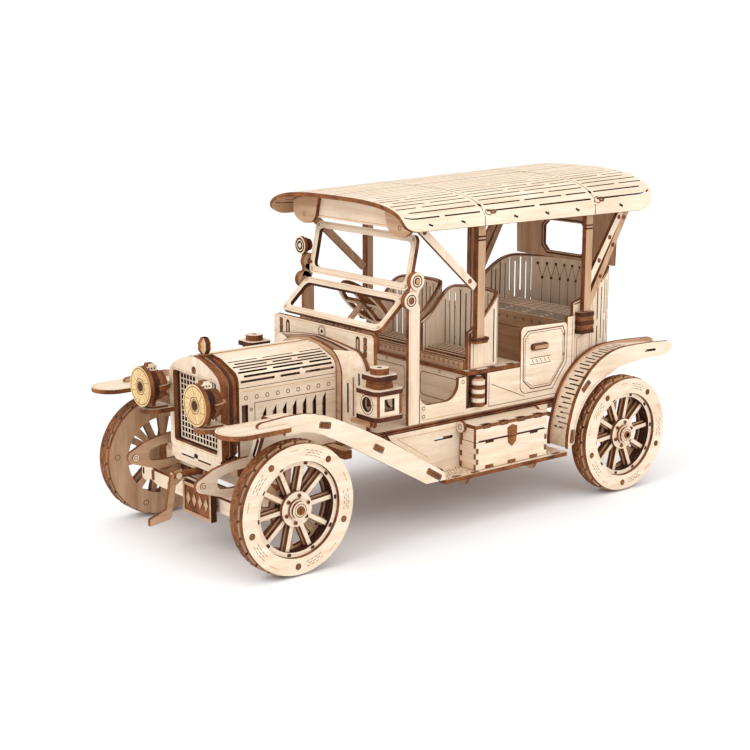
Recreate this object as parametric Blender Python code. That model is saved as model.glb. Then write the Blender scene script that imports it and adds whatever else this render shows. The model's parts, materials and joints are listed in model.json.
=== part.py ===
"""A laser-cut plywood kit of an open 1920s touring car, built plate by plate.

Frame: the car stands on z = 0 with its nose towards -Y and its left side towards +X.
Sizes are in millimetres up to the last step, where MM turns them into metres.
"""

import math

import bmesh
import bpy
from mathutils import Matrix, Vector
from mathutils.geometry import tessellate_polygon

# ---------------------------------------------------------------- driving dimensions (mm)
MM = 0.001
PLY = 2.0  # thickness of the plywood sheets
GAP = 0.3  # free space between pieces that meet

WHEEL_R = 29.0
FRONT_AXLE_Y = -102.0
REAR_AXLE_Y = 96.5
TYRE_IN, TYRE_OUT = 50.5, 60.0  # inner and outer face of a wheel, from the middle plane
HUB_OUT = 61.6
AXLE_R = 2.0
WHEEL_SIDES = 24
SPOKES = 10

KINGPIN_X = 47.0
FORK_TOP = 35.3  # underside of the axle fork's upper ear
STEER_ARM = 11.0  # from the kingpin back to the tie rod's pin

SIDE_X = 41.0  # outer face of the body sides
FENDER_X = 55.7  # outer face of the fenders and running boards
FRAME_TOP = 41.9  # upper face of the ladder frame
FLOOR_Z = 49.0
BOARD_Z = 25.4  # top of the running boards
SHELF_Z = 69.5

RADIATOR_Y = -114.6
RADIATOR_W = 21.0
HOOD_Y0, HOOD_Y1 = -105.5, -53.9
HOOD_W = 21.5
HOOD_TOP = 86.0
HOOD_SEAM_Z = 74.0  # where the bent top sheet meets the flat side panel

EAVE_X, EAVE_Z = 51.5, 138.5
ROOF_Y0, ROOF_Y1 = -39.0, 120.0
ROOF_RISE0, ROOF_RISE1 = 12.5, 18.5  # height of the crown over the eaves, front and rear

UPPER_PIVOT = (-23.4, 115.0)  # y, z of the folding windshield's hinge
LOWER_PIVOT = (-26.8, 106.6)
LID_AXIS = (44.5, 45.0)  # x, z of the toolbox lid's hinge
CRANK_AXIS = (-1.0, 34.2)  # x, z of the starting crank
DOOR_HINGE_Y = 72.9
STEERING_HUB = (-17.0, -8.0, 96.0)
STEERING_TILT = 41.0  # degrees between the column and the ground

BIRCH = (0.84, 0.72, 0.58)
SHADED = (0.62, 0.42, 0.26)
BURNT = (0.36, 0.19, 0.09)
LAMP = (0.83, 0.68, 0.40)


# ---------------------------------------------------------------- tools
def clear_scene():
    for obj in list(bpy.data.objects):
        bpy.data.objects.remove(obj, do_unlink=True)


def plywood(name, colour, roughness=0.6):
    found = bpy.data.materials.get(name)
    if found:
        return found
    made = bpy.data.materials.new(name)
    made.use_nodes = True
    shader = made.node_tree.nodes["Principled BSDF"]
    shader.inputs["Base Color"].default_value = (*colour, 1.0)
    shader.inputs["Roughness"].default_value = roughness
    shader.inputs["Metallic"].default_value = 0.0
    return made


def arc(centre, radius, start, end, count):
    """Points from start to end, in degrees, on a circle in the plate's own plane."""
    steps = [math.radians(start + (end - start) * i / count) for i in range(count + 1)]
    return [(centre[0] + radius * math.cos(a), centre[1] + radius * math.sin(a)) for a in steps]


def circle(centre, radius, count=16):
    """A polygon with a flat side at its lowest point, whose flats touch the circle."""
    reach = radius / math.cos(math.pi / count)
    return arc(centre, reach, 180 / count, 180 / count + 360 * (count - 1) / count, count - 1)


def box_outline(u0, v0, u1, v1):
    return [(u0, v0), (u1, v0), (u1, v1), (u0, v1)]


def rounded(u0, v0, u1, v1, radius, count=4):
    points = arc((u1 - radius, v0 + radius), radius, -90, 0, count)
    points += arc((u1 - radius, v1 - radius), radius, 0, 90, count)
    points += arc((u0 + radius, v1 - radius), radius, 90, 180, count)
    return points + arc((u0 + radius, v0 + radius), radius, 180, 270, count)


def mirrored_outline(half):
    """Closes a right-hand half outline, listed bottom to top, with its mirror image."""
    return half + [(-u, v) for u, v in reversed(half) if abs(u) > 1e-9]


def finish_mesh(name, bm):
    bmesh.ops.remove_doubles(bm, verts=bm.verts, dist=1e-4)
    bmesh.ops.recalc_face_normals(bm, faces=bm.faces)
    mesh = bpy.data.meshes.new(name)
    bm.to_mesh(mesh)
    bm.free()
    obj = bpy.data.objects.new(name, mesh)
    bpy.context.scene.collection.objects.link(obj)
    return obj


PLANES = {
    "YZ": lambda u, v, w: (w, u, v),
    "XZ": lambda u, v, w: (u, w, v),
    "XY": lambda u, v, w: (u, v, w),
}


def slab(plane, outline, low, high, holes=()):
    """A plate: an outline with holes, from low to high along the plane's normal."""
    place = PLANES[plane]
    loops = [list(outline)] + [list(hole) for hole in holes]
    flat = [point for loop in loops for point in loop]
    triangles = tessellate_polygon([[Vector((u, v, 0)) for u, v in loop] for loop in loops])
    bm = bmesh.new()
    bottom = [bm.verts.new(place(u, v, low)) for u, v in flat]
    top = [bm.verts.new(place(u, v, high)) for u, v in flat]
    for triangle in triangles:
        bm.faces.new([bottom[i] for i in triangle])
        bm.faces.new([top[i] for i in reversed(triangle)])
    first = 0
    for loop in loops:
        for i in range(len(loop)):
            a, b = first + i, first + (i + 1) % len(loop)
            bm.faces.new([bottom[a], bottom[b], top[b], top[a]])
        first += len(loop)
    return finish_mesh("slab", bm)


def ribbon(path, thickness):
    """The outline of a strip of sheet that follows a path, with its upper face on the path."""
    left, right = [], []
    for i, point in enumerate(path):
        before = Vector(path[max(i - 1, 0)])
        after = Vector(path[min(i + 1, len(path) - 1)])
        along = (after - before).normalized()
        normal = Vector((-along.y, along.x))
        left.append(tuple(point))
        right.append(tuple(Vector(point) - normal * thickness))
    return left + right[::-1]


def loft(sections):
    """A closed solid through rings of points that all have the same length."""
    bm = bmesh.new()
    rings = [[bm.verts.new(p) for p in ring] for ring in sections]
    count = len(rings[0])
    for near, far in zip(rings, rings[1:]):
        for i in range(count):
            j = (i + 1) % count
            bm.faces.new([near[i], near[j], far[j], far[i]])
    bm.faces.new(rings[0][::-1])
    bm.faces.new(rings[-1])
    return finish_mesh("loft", bm)


def turned(axis, centre, profile, count=20):
    """A round solid about a row axis, from (position along the axis, radius) pairs."""
    rings = []
    for along, radius in profile:
        ring = []
        for u, v in circle((0, 0), radius, count):
            ring.append({
                "X": (centre[0] + along, centre[1] + u, centre[2] + v),
                "Y": (centre[0] + u, centre[1] + along, centre[2] + v),
                "Z": (centre[0] + u, centre[1] + v, centre[2] + along),
            }[axis])
        rings.append(ring)
    return loft(rings)


def evaluated_mesh(obj):
    graph = bpy.context.evaluated_depsgraph_get()
    return bpy.data.meshes.new_from_object(obj.evaluated_get(graph))


def combine(operation, first, others):
    """Joins or cuts solids with exact Booleans and removes the helpers."""
    for other in others:
        modifier = first.modifiers.new(operation.title(), "BOOLEAN")
        modifier.operation = operation
        modifier.solver = "EXACT"
        modifier.object = other
    mesh = evaluated_mesh(first)
    first.modifiers.clear()
    first.data = mesh
    for other in others:
        bpy.data.objects.remove(other, do_unlink=True)
    return first


def fuse(*solids):
    return combine("UNION", solids[0], list(solids[1:]))


def cut(solid, *cutters):
    return combine("DIFFERENCE", solid, list(cutters))


def turn(obj, degrees, axis, about):
    """Turns a solid about an axis through a point."""
    there = Matrix.Translation(Vector(about))
    obj.data.transform(there @ Matrix.Rotation(math.radians(degrees), 4, axis) @ there.inverted())
    return obj


def node(name, obj, material, pivot=(0, 0, 0)):
    """Names a finished solid, puts it in metres with its origin on its pivot, and colours it."""
    obj.name = name
    obj.data.name = name
    obj.data.transform(Matrix.Scale(MM, 4) @ Matrix.Translation(-Vector(pivot)))
    obj.location = Vector(pivot) * MM
    obj.data.materials.clear()
    obj.data.materials.append(material)
    obj.data.shade_smooth()
    obj.data.set_sharp_from_angle(angle=math.radians(32))
    return obj


def both_sides(stem, obj, material, pivot=(0, 0, 0)):
    """The left piece and its mirror image on the right."""
    twin = bpy.data.objects.new("twin", obj.data.copy())
    bpy.context.scene.collection.objects.link(twin)
    twin.data.transform(Matrix.Scale(-1, 4, Vector((1, 0, 0))))
    twin.data.flip_normals()
    node(stem + "_left", obj, material, pivot)
    node(stem + "_right", twin, material, (-pivot[0], pivot[1], pivot[2]))


# ---------------------------------------------------------------- running gear
def wheel(axle_y):
    """A left wheel: a five-ply tyre, a spoked disc and a hub, bored for its axle."""
    centre = (axle_y, WHEEL_R)
    tyre = slab("YZ", circle(centre, WHEEL_R, WHEEL_SIDES), TYRE_IN, TYRE_OUT,
                [circle(centre, 19.5, WHEEL_SIDES)])
    gaps = []
    for i in range(SPOKES):
        middle = 360 * (i + 0.5) / SPOKES
        wide, narrow = 180 / SPOKES - 3.5, 180 / SPOKES - 9.5
        gaps.append(arc(centre, 18.6, middle - wide, middle + wide, 2)
                    + arc(centre, 8.0, middle + narrow, middle - narrow, 1))
    spokes = slab("YZ", circle(centre, 20.0, WHEEL_SIDES), 52.5, 57.5, gaps)
    hub = slab("YZ", circle(centre, 6.6, 12), 51.0, HUB_OUT - 1.6)
    nut = slab("YZ", circle(centre, 3.9, 8), 55.0, HUB_OUT)
    bore = slab("YZ", circle(centre, AXLE_R + GAP, 8), TYRE_IN - 5, HUB_OUT + 5)
    return cut(fuse(tyre, spokes, hub, nut), bore)


def knuckle():
    """A left steering knuckle: kingpin, barrel, stub axle and steering arm."""
    centre = (KINGPIN_X, FRONT_AXLE_Y, 0)
    barrel = turned("Z", centre, [(22.0, 2.8), (FORK_TOP - GAP, 2.8)], 12)
    pin = turned("Z", centre, [(19.4, 1.2), (FORK_TOP + PLY + GAP, 1.2)], 8)
    stub = turned("X", (0, FRONT_AXLE_Y, WHEEL_R), [(KINGPIN_X, AXLE_R - 0.1), (HUB_OUT, AXLE_R - 0.1)], 8)
    tip = (KINGPIN_X - 1.5, FRONT_AXLE_Y + STEER_ARM)
    arm = slab("XY", arc(tip, 2.2, 0, 180, 6)
               + [(KINGPIN_X - 2.6, FRONT_AXLE_Y), (KINGPIN_X + 1.0, FRONT_AXLE_Y)], 22.5, 24.5)
    tie_pin = turned("Z", (tip[0], tip[1], 0), [(24.0, 1.0), (28.2, 1.0)], 8)
    return fuse(barrel, pin, stub, arm, tie_pin)


def tie_rod():
    """The bar between the steering arms, with an eye large enough for the pins' small arcs."""
    eye_x, eye_y = KINGPIN_X - 1.5, FRONT_AXLE_Y + STEER_ARM - 0.4
    outline = arc((eye_x, eye_y), 3.0, -90, 90, 6) + arc((-eye_x, eye_y), 3.0, 90, 270, 6)
    eyes = [circle((side * eye_x, eye_y), 1.9, 12) for side in (-1, 1)]
    return slab("XY", outline, 24.9, 26.9, eyes)


def front_axle_beam():
    """The axle's box: a beam with forks for the kingpins, tied to the plate in front of it."""
    beam = slab("XY", box_outline(-42.8, -104.4, 42.8, -99.6), 19.7, FORK_TOP + PLY)
    slot = slab("XZ", box_outline(-36, 24.6, 36, 29.6), -130, -90)
    solids = [cut(beam, slot)]
    for side in (-1, 1):
        for low in (19.7, FORK_TOP):
            ear = arc((KINGPIN_X, FRONT_AXLE_Y), 2.4, -90, 90, 6) + [(42.0, -99.6), (42.0, -104.4)]
            solids.append(slab("XY", [(side * x, y) for x, y in ear], low, low + PLY,
                               [circle((side * KINGPIN_X, FRONT_AXLE_Y), 1.5, 12)]))
    solids.append(slab("XZ", box_outline(-44.0, 21.4, 44.0, 29.6), -117.0, -115.0))
    for side in (-1, 1):
        solids.append(slab("YZ", box_outline(-116, 22.4, -103, 28.6), side * 34 - 1, side * 34 + 1))
    return fuse(*solids)


def chassis_frame():
    """A ladder frame with the dumb irons in front, the outriggers and the rear axle's hangers."""
    ladder = slab("XY", box_outline(-22, RADIATOR_Y + 2.3, 22, 116), 37.6, FRAME_TOP,
                  [box_outline(-15, -102, 15, -56), box_outline(-15, -46, 15, 24),
                   box_outline(-15, 34, 15, 106)])
    iron = [(-106, 31.0), (-112, 30.2), (-118, 29.9), (-123, 31.6)]
    iron += arc((-130.0, 37.2), 3.0, -110, -250, 4) + [(-124.5, 43.2), (-116, 45.2), (-106, 46.0)]
    window = [(-108, 33.5), (-118, 34.0), (-122, 37.0), (-118, 40.4), (-108, 41.0)]
    pieces = []
    for side in (-1, 1):
        pieces.append(slab("YZ", iron, side * 28.5 - 1, side * 28.5 + 1, [window]))
        pieces.append(slab("XZ", box_outline(side * 20, 38, side * 29, 41.5), -112, -107))
        hanger = arc((REAR_AXLE_Y, WHEEL_R), 6.0, 180, 360, 8) + [(112, 38.5), (81, 38.5)]
        pieces.append(slab("YZ", hanger, side * 20 - 1, side * 20 + 1,
                           [circle((REAR_AXLE_Y, WHEEL_R), AXLE_R + GAP, 12)]))
    lug = mirrored_outline([(0, 30), (20, 28), (40, 19.5), (51, 19.5), (53, 23.1), (40, 23.1), (22, 35),
                            (22, 38.5)])
    for y in (-1, 42):
        pieces.append(slab("XZ", lug, y - 1, y + 1))
    beam = slab("XY", box_outline(-36, -60, 36, -56), 38.0, FRAME_TOP)
    x, z = CRANK_AXIS
    bearing = slab("XZ", box_outline(x - 4, 30.8, x + 4, 38.4), -111.8, -108.8, [circle(CRANK_AXIS, 1.9, 8)])
    front = slab("XY", box_outline(-16, RADIATOR_Y + 2.4, 16, -108), 37.8, FRAME_TOP - 0.2)
    return fuse(ladder, beam, bearing, front, *pieces)


def rear_axle():
    return turned("X", (0, REAR_AXLE_Y, WHEEL_R), [(-HUB_OUT, AXLE_R - 0.1), (HUB_OUT, AXLE_R - 0.1)], 12)


def crank():
    """The starting handle: a flat Z of plywood on a round shaft."""
    x, z = CRANK_AXIS
    shaft = turned("Y", (x, 0, z), [(-127.0, 1.6), (-106.0, 1.6)], 12)
    arm = [(-122.0, z + 2.6), (-126.5, z + 1.6), (-129.5, z - 4.0), (-131.6, 18.4), (-138.5, 16.6),
           (-138.5, 13.8), (-128.4, 15.2), (-126.4, z - 5.0), (-122.0, z - 2.4)]
    return fuse(slab("YZ", arm, x - 1, x + 1), shaft)


# ---------------------------------------------------------------- nose
def radiator_outline(inset=0.0):
    w, top = RADIATOR_W - inset, HOOD_TOP - inset
    return mirrored_outline([(w - 0.3, 42.2 + inset), (w, 74.0)]
                            + arc((w - 6.5, 74.0), 6.5, 20, 70, 3) + [(0, top)])


def radiator_shell():
    """Four plies of frame round the grille, the filler cap above and the apron below."""
    y0 = RADIATOR_Y
    opening = box_outline(-17.4, 45.6, 17.4, 77.0)
    shell = slab("XZ", radiator_outline(), y0, y0 + 8.6, [opening])
    ornament = slab("YZ", [(-111.0, 84.0), (-106.6, 84.0), (-105.9, 89.4), (-107.2, 93.8), (-110.4, 93.8),
                           (-111.8, 89.4)], -2.9, 2.9)
    apron = slab("XZ", mirrored_outline([(17, 36.5), (20.4, 38.5), (20.4, 43.5)]), y0, y0 + PLY)
    return fuse(shell, ornament, apron)


def radiator_grille():
    """A lattice with upright slots, set back in the shell."""
    columns, rows = 5, 3
    left, right, low, high = -16.9, 16.9, 46.1, 76.5
    wide, tall = (right - left) / columns, (high - low) / rows
    slots = []
    for i in range(columns):
        for j in range(rows):
            slots.append(box_outline(left + wide * i + 1.3, low + tall * j + 1.3,
                                     left + wide * (i + 1) - 1.3, low + tall * (j + 1) - 1.3))
    return slab("XZ", box_outline(left, low, right, high), RADIATOR_Y + 3, RADIATOR_Y + 5, slots)


def headlamp():
    """A left headlamp: a stepped drum of plies on its bracket, with a finial on top."""
    x, z = 22.6, 70.5
    drum = turned("Y", (x, 0, z), [(-128.5, 9.0), (-125.6, 9.0), (-125.6, 7.6), (-121.6, 7.6),
                                   (-121.6, 6.4), (-117.4, 6.4)], 20)
    finial = slab("YZ", box_outline(-126.4, 77.0, -121.0, 80.6), x - 2.2, x + 2.2)
    saddle = slab("XZ", box_outline(x - 3, 60.0, x + 3, 66.0), -124.4, -122.4)
    bracket = slab("XY", arc((x, -122.2), 6.2, 180, 360, 8) + [(x + 6.2, -114.9), (x - 6.2, -114.9)],
                   58.6, 60.6)
    return fuse(drum, finial, saddle, bracket)


def number_plate():
    plate = slab("XZ", box_outline(-0.4, 17.6, 22.4, 31.6), -121.6, -118.6)
    foot = slab("XZ", box_outline(6, 22.4, 16, 28.6), -119.6, -117.3)
    return fuse(plate, foot)


def fender_stay():
    """A leaning strip from the frame up to the front fender."""
    slot = [(28.0, 45.0), (29.4, 45.0), (33.0, 52.4), (31.6, 52.4)]
    return slab("XZ", [(22.3, 38.0), (26.6, 38.0), (37.0, 59.4), (32.2, 59.4)], -103.7, -101.7, [slot])


def hood_top():
    """A left hood leaf: bent over the shoulder, hinged on the centre seam."""
    w, edge, low = HOOD_W, 0.3, HOOD_SEAM_Z + GAP
    outer = [(edge, HOOD_TOP), (8, HOOD_TOP - 0.9), (14, HOOD_TOP - 3.2)] + arc((w - 6, 76), 6.0, 60, 0, 3)
    inner = arc((w - 6, 76), 4.0, 0, 60, 3)
    inner += [(13.2, HOOD_TOP - 5.2), (8, HOOD_TOP - 2.9), (edge, HOOD_TOP - PLY)]
    return slab("XZ", outer + [(w, low), (w - PLY, low)] + inner, HOOD_Y0, HOOD_Y1)


def hood_side():
    """A left hood side: a flat upright panel between the radiator and the cowl."""
    return slab("XZ", box_outline(HOOD_W - PLY, FRAME_TOP + GAP, HOOD_W, HOOD_SEAM_Z), HOOD_Y0, HOOD_Y1)


def firewall():
    """The flared cowl between the hood and the dashboard: two arches, open in the middle."""
    def arch(half, top, inset):
        w = half - inset
        return mirrored_outline([(w, FRAME_TOP + GAP), (w, top - 15)]
                                + arc((w - 12, top - 14 - inset), 12.0, 10, 70, 4) + [(0, top - inset)])

    def hole(half, top):
        return box_outline(-half, 47.6, half, top)

    hoop = slab("XZ", arch(26.0, 87.0, 0), -53.4, -50.9, [hole(17, 76)])
    rim = slab("XZ", arch(36.6, 87.4, 0), -49.4, -46.0, [hole(17, 76)])
    middle = slab("XZ", arch(31.0, 87.2, 0), -51.4, -48.9, [hole(17, 76)])
    return fuse(hoop, middle, rim)


def dashboard():
    """The upright panel behind the cowl, with the instrument board behind it."""
    panel = slab("XZ", rounded(-38.4, 50.0, 38.4, 92.4, 2.0, 2), -45.6, -43.6,
                 [box_outline(-28, 54, 28, 78)])
    board = slab("XZ", rounded(-30, 79.6, 30, 93.4, 6.0, 3), -37.4, -35.4)
    link = slab("XZ", box_outline(-24, 80.0, 24, 86.0), -44.6, -36.4)
    return fuse(panel, board, link)


def cut_square(x, y, half, corner):
    """A square plate's outline with its corners cut off."""
    far = half - corner
    points = [(far, -half), (half, -far), (half, far), (far, half)]
    return [(x + u, y + v) for u, v in points + [(-u, -v) for u, v in points]]


def side_lantern():
    """A left carriage lamp: a glazed box between stepped roofs with cut corners, on a bracket."""
    x, y = 48.6, -50.4
    steps = [(8.2, 2.2, 58.4, 60.6), (7.0, 1.2, 60.0, 70.4), (8.2, 2.2, 69.8, 71.9), (5.0, 1.6, 71.4, 75.6),
             (6.3, 1.8, 75.1, 78.1), (4.2, 1.6, 77.6, 80.8)]
    body = fuse(*[slab("XY", cut_square(x, y, half, corner), low, high) for half, corner, low, high in steps])
    room = slab("XY", circle((x, y), 5.2, 12), 57.0, 69.0)
    port = slab("XZ", circle((x, 65.2), 3.4, 12), y - 9, y + 9)
    side = slab("YZ", box_outline(y - 2.8, 62.4, y + 2.8, 68.0), x - 9, x + 9)
    arm = slab("XZ", box_outline(37.0, 55.2, x + 2, 58.8), y - 7.0, y - 5.0)
    return fuse(cut(body, room, port, side), arm)


# ---------------------------------------------------------------- fenders and boards
def front_fender():
    """A left front fender: a bent sheet between two side plates, and a round-ended tip plate."""
    upper = [(-17.9, 28.9), (-36.0, 40.2), (-55.8, 51.9), (-77.4, 62.6), (-86.0, 66.2), (-97.0, 68.4),
             (-113.0, 67.8)]
    nose = [(-117.0, 67.6), (-118.8, 66.6), (-119.0, 65.2), (-117.6, 64.4)]
    lower = [(-105.8, 64.4), (-105.2, 60.4), (-96.0, 60.6), (-86.4, 57.8), (-67.0, 47.4), (-29.0, 25.7),
             (-17.9, 25.7)]
    outer = slab("YZ", upper + nose + lower, FENDER_X - PLY, FENDER_X)
    path = [(-105.0, 65.6), (-97.0, 65.6), (-88.0, 63.4), (-77.4, 58.9), (-56.4, 48.0), (-17.9, 27.6)]
    inner = slab("YZ", ribbon([(y, z - 0.5) for y, z in path[::-1]], -4.5), 37.3, 39.3)
    sheet = slab("YZ", ribbon(path[::-1], -PLY), 38.3, FENDER_X - 1.0)
    tip_x, tip_r = 52.2, 9.3
    rear = [(tip_x + tip_r, -107.5), (tip_x + tip_r - 0.8, -106.0), (54.8, -106.0), (54.8, -104.2),
            (tip_x - tip_r, -104.2)]
    tip = slab("XY", arc((tip_x, -126.5), tip_r, 180, 360, 12) + rear, 63.4, 65.4)
    return fuse(outer, sheet, inner, tip)


def rear_fender():
    """A left rear fender: a slotted sheet bent round the wheel between two side plates."""
    y0, z0 = REAR_AXLE_Y, WHEEL_R

    def point(degrees, radius):
        a = math.radians(degrees)
        return (y0 + radius * math.cos(a), z0 + radius * math.sin(a))

    steps = [(184, 35.9), (170, 36.0), (158, 36.3), (146, 37.6), (134, 39.0), (122, 40.4), (110, 41.6),
             (98, 42.6), (86, 43.4)]
    upper = [point(a, r) for a, r in steps] + [(116.0, 72.2), (131.0, 71.4)]
    nose = [(133.6, 69.2), (132.0, 66.0), (127.0, 64.4)]
    under = [point(a, 31.6 + max(0, 108 - a) * 0.12) for a in (90, 106, 122, 138, 154, 170, 184)]
    outline = upper + nose + [(112.0, 64.6)] + under
    outer = slab("YZ", outline, FENDER_X - PLY, FENDER_X)
    inner = slab("YZ", outline, 41.3, 43.3)
    path = [point(a, r - 1.0) for a, r in steps] + [(116.0, 70.6), (127.0, 69.8)]
    sheet = slab("YZ", ribbon(path[::-1], -PLY), 42.3, FENDER_X - 1.0)
    tail = slab("XY", arc((47.6, 131.8), 6.7, 0, 180, 8) + [(40.9, 124.0), (54.3, 124.0)], 66.0, 68.0)
    return fuse(outer, sheet, inner, tail)


def running_board():
    """A left running board with the upright valance that closes the gap to the body."""
    board = slab("XY", box_outline(39.6, -17.6, FENDER_X, 60.0), BOARD_Z - PLY, BOARD_Z)
    valance = slab("YZ", [(-17.6, 24.0), (60.0, 24.0), (60.0, 46.7), (-40.0, 46.7), (-38.0, 43.8),
                          (-17.6, 31.0)], 39.6, 41.6)
    return fuse(board, valance)


def toolbox():
    """A left toolbox, open at the top."""
    box = slab("XY", box_outline(42.4, 2.5, 53.5, 48.0), BOARD_Z + GAP, 38.6)
    room = slab("XY", box_outline(44.0, 4.1, 51.9, 46.4), BOARD_Z + 2, 50)
    return cut(box, room)


def toolbox_lid():
    """The toolbox's lid: a tray with its hinge discs at both ends."""
    x, z = LID_AXIS
    lid = slab("XY", box_outline(x - 1.6, 2.5, 53.5, 48.0), 38.9, 46.8)
    room = slab("XY", box_outline(x, 4.1, 51.9, 46.4), 38, 44.8)
    discs = slab("XZ", circle((x, z), 2.6, 12), 0.6, 49.9)
    return fuse(cut(lid, room), discs)


def canister():
    """The small upright cylinder that stands beside the front seat."""
    return turned("Z", (40.8, 14.9, 0), [(52.0 + GAP, 3.2), (65.0, 3.2), (66.8, 1.6)], 12)


# ---------------------------------------------------------------- body
def floor_board():
    """The floor on three joists, with the block that carries the steering column's lower end."""
    board = slab("XY", [(-41.2, -46.0), (41.2, -46.0), (41.2, 66.0), (38.0, 76.0), (38.0, 100.0),
                       (26.0, 118.0), (-26.0, 118.0), (-38.0, 100.0), (-38.0, 76.0), (-41.2, 66.0)],
                 FLOOR_Z - PLY, FLOOR_Z)
    x = STEERING_HUB[0]
    block = slab("YZ", box_outline(-37.0, FLOOR_Z - 1, -31.0, 71.8), x - 4, x + 4)
    joist = box_outline(-30, FRAME_TOP + GAP, 30, FLOOR_Z - 1)
    joists = [slab("XZ", joist, y - 1.5, y + 1.5) for y in (-36, 28, 100)]
    return fuse(board, block, *joists)


def body_side():
    """A left side panel: front door cut-out, seat base, and the notch of the rear door."""
    base = FLOOR_Z + GAP
    outline = [(-20.8, base), (78.0, base), (78.0, 88.0), (73.2, 88.0), (73.2, 66.0), (63.8, 53.6)]
    outline += [(47.0, 53.6)] + arc((46.0, 58.0), 4.4, 260, 190, 3)
    outline += [(41.6, SHELF_Z - PLY - GAP), (20.5, SHELF_Z - PLY - GAP), (20.5, 52.0), (7.2, 52.0),
                (7.2, SHELF_Z - PLY - GAP), (2.6, SHELF_Z - PLY - GAP)]
    outline += arc((-5.4, 65.2), 8.0, 0, -90, 5) + arc((-15.6, 62.4), 5.2, 270, 180, 4)
    return slab("YZ", outline, SIDE_X - PLY, SIDE_X)


def rear_door():
    """A left rear door with its grip."""
    lower = [(47.2, 54.0), (63.6, 54.0), (72.8, 66.2), (72.8, 83.8)] + arc((70.8, 83.6), 2.0, 10, 90, 2)
    upper = arc((44.4, 84.0), 2.4, 90, 180, 3) + arc((46.4, 58.2), 4.4, 190, 260, 3)
    leaf = slab("YZ", lower + upper, SIDE_X - PLY, SIDE_X)
    grip = slab("YZ", rounded(48.4, 74.4, 59.0, 77.6, 1.2, 2), SIDE_X - 1, SIDE_X + 2.0)
    return fuse(leaf, grip)


def tub_path(half, depth, y_front, y_turn, count=12):
    """A U in plan: straight sides, then half an ellipse round the back."""
    points = [(half, y_front)]
    for i in range(count + 1):
        a = math.pi * i / count
        points.append((half * math.cos(a), y_turn + depth * math.sin(a)))
    return points + [(-half, y_front)]


def u_wall(half, depth, y_front, y_turn, z0, z_arm, z_back, y_rise, thickness, centre=0.0):
    """A bent sheet round a seat whose top edge climbs from the arms to the back."""
    outer = tub_path(half, depth, y_front, y_turn)
    inner = tub_path(half - thickness, depth - thickness, y_front, y_turn)

    def top(y):
        t = min(max((y - y_front) / (y_rise - y_front), 0), 1)
        return z_arm + (z_back - z_arm) * t * t * (3 - 2 * t)

    rings = [[(centre + a[0], a[1], z0), (centre + a[0], a[1], top(a[1])),
              (centre + b[0], b[1], top(a[1])), (centre + b[0], b[1], z0)] for a, b in zip(outer, inner)]
    return loft(rings)


def rear_tub():
    """The rounded tail of the body, which is also the rear seat's back."""
    shell = u_wall(39.6, 27.5, 78.3, 95.0, FLOOR_Z + GAP, 94.0, 108.4, 110.0, PLY)
    block = slab("XY", box_outline(38.6, 79.0, 44.4, 89.0), 79.0, 89.8)
    twin = slab("XY", box_outline(-44.4, 79.0, -38.6, 89.0), 79.0, 89.8)
    return fuse(shell, block, twin)


def rear_seat():
    """The rear cushion on its slotted box."""
    cushion = slab("YZ", [(80.6, 80.0), (106.0, 82.0), (106.0, 85.4), (80.6, 83.6)], -33.0, 33.0)
    apron = slab("XZ", box_outline(-37.0, FLOOR_Z + GAP, 37.0, 83.6), 80.0, 82.0)
    return fuse(cushion, apron)


def front_seat_shelf():
    """The plate that carries both front seats, with the upright board that holds it up."""
    shelf = slab("XY", box_outline(-40.9, 8.0, 40.9, 42.0), SHELF_Z - PLY, SHELF_Z)
    riser = slab("XZ", box_outline(-38.4, FLOOR_Z + GAP, 38.4, SHELF_Z - 1), 9.0, 11.0)
    back = slab("XZ", box_outline(-38.4, FLOOR_Z + GAP, 38.4, SHELF_Z - 1), 38.6, 40.6)
    return fuse(shelf, riser, back)


def front_seat():
    """A left bucket seat: a bent wrap round a slatted cushion."""
    middle = 20.1
    wall = u_wall(18.3, 10.5, 10.5, 26.0, SHELF_Z + GAP, 87.0, 104.0, 33.0, PLY, middle)
    cushion = slab("XY", box_outline(middle - 17, 8.6, middle + 17, 27.0), SHELF_Z + 2.6, SHELF_Z + 5.4)
    apron = slab("XZ", box_outline(middle - 17, SHELF_Z + GAP, middle + 17, SHELF_Z + 5.4), 8.4, 10.4)
    return fuse(wall, cushion, apron)


# ---------------------------------------------------------------- windshield, steering and roof
def windshield_post():
    """A left stanchion, with a round eye for each half of the windshield."""
    shank = slab("YZ", box_outline(-27.5, FLOOR_Z + GAP, -21.3, 105.0), SIDE_X - PLY, SIDE_X)
    low = slab("YZ", circle(LOWER_PIVOT, 4.0, 16), SIDE_X - PLY, SIDE_X + 0.8)
    high = slab("YZ", circle(UPPER_PIVOT, 4.0, 16), SIDE_X - PLY, SIDE_X + 0.8)
    web = slab("YZ", [(-28.6, 108.0), (-23.6, 105.4), (-20.6, 113.0), (-26.0, 114.0)], SIDE_X - PLY, SIDE_X)
    bore = slab("YZ", circle(UPPER_PIVOT, 1.7, 12), SIDE_X - 8, SIDE_X + 8)
    return cut(fuse(shank, low, high, web), bore)


def glazing_frame(low, high, half, width):
    """An open rectangular frame in its own upright plane."""
    return slab("XZ", rounded(-half, low, half, high, 3.5, 3), -1.0, 1.0,
                [rounded(-half + width, low + width, half - width, high - width, 2.4, 3)])


def windshield_upper():
    """The folding half, with its pins in the stanchions' upper eyes."""
    y, z = UPPER_PIVOT
    frame = glazing_frame(z - 5.2, z + 20.2, 37.7, 3.4)
    frame.data.transform(Matrix.Translation((0, y, 0)))
    turn(frame, -12.0, "X", (0, y, z))
    spans = [(36.0, 42.4), (-42.4, -36.0)]
    pins = [turned("X", (0, y, z), [(low, 1.3), (high, 1.3)], 12) for low, high in spans]
    return fuse(frame, *pins)


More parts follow.
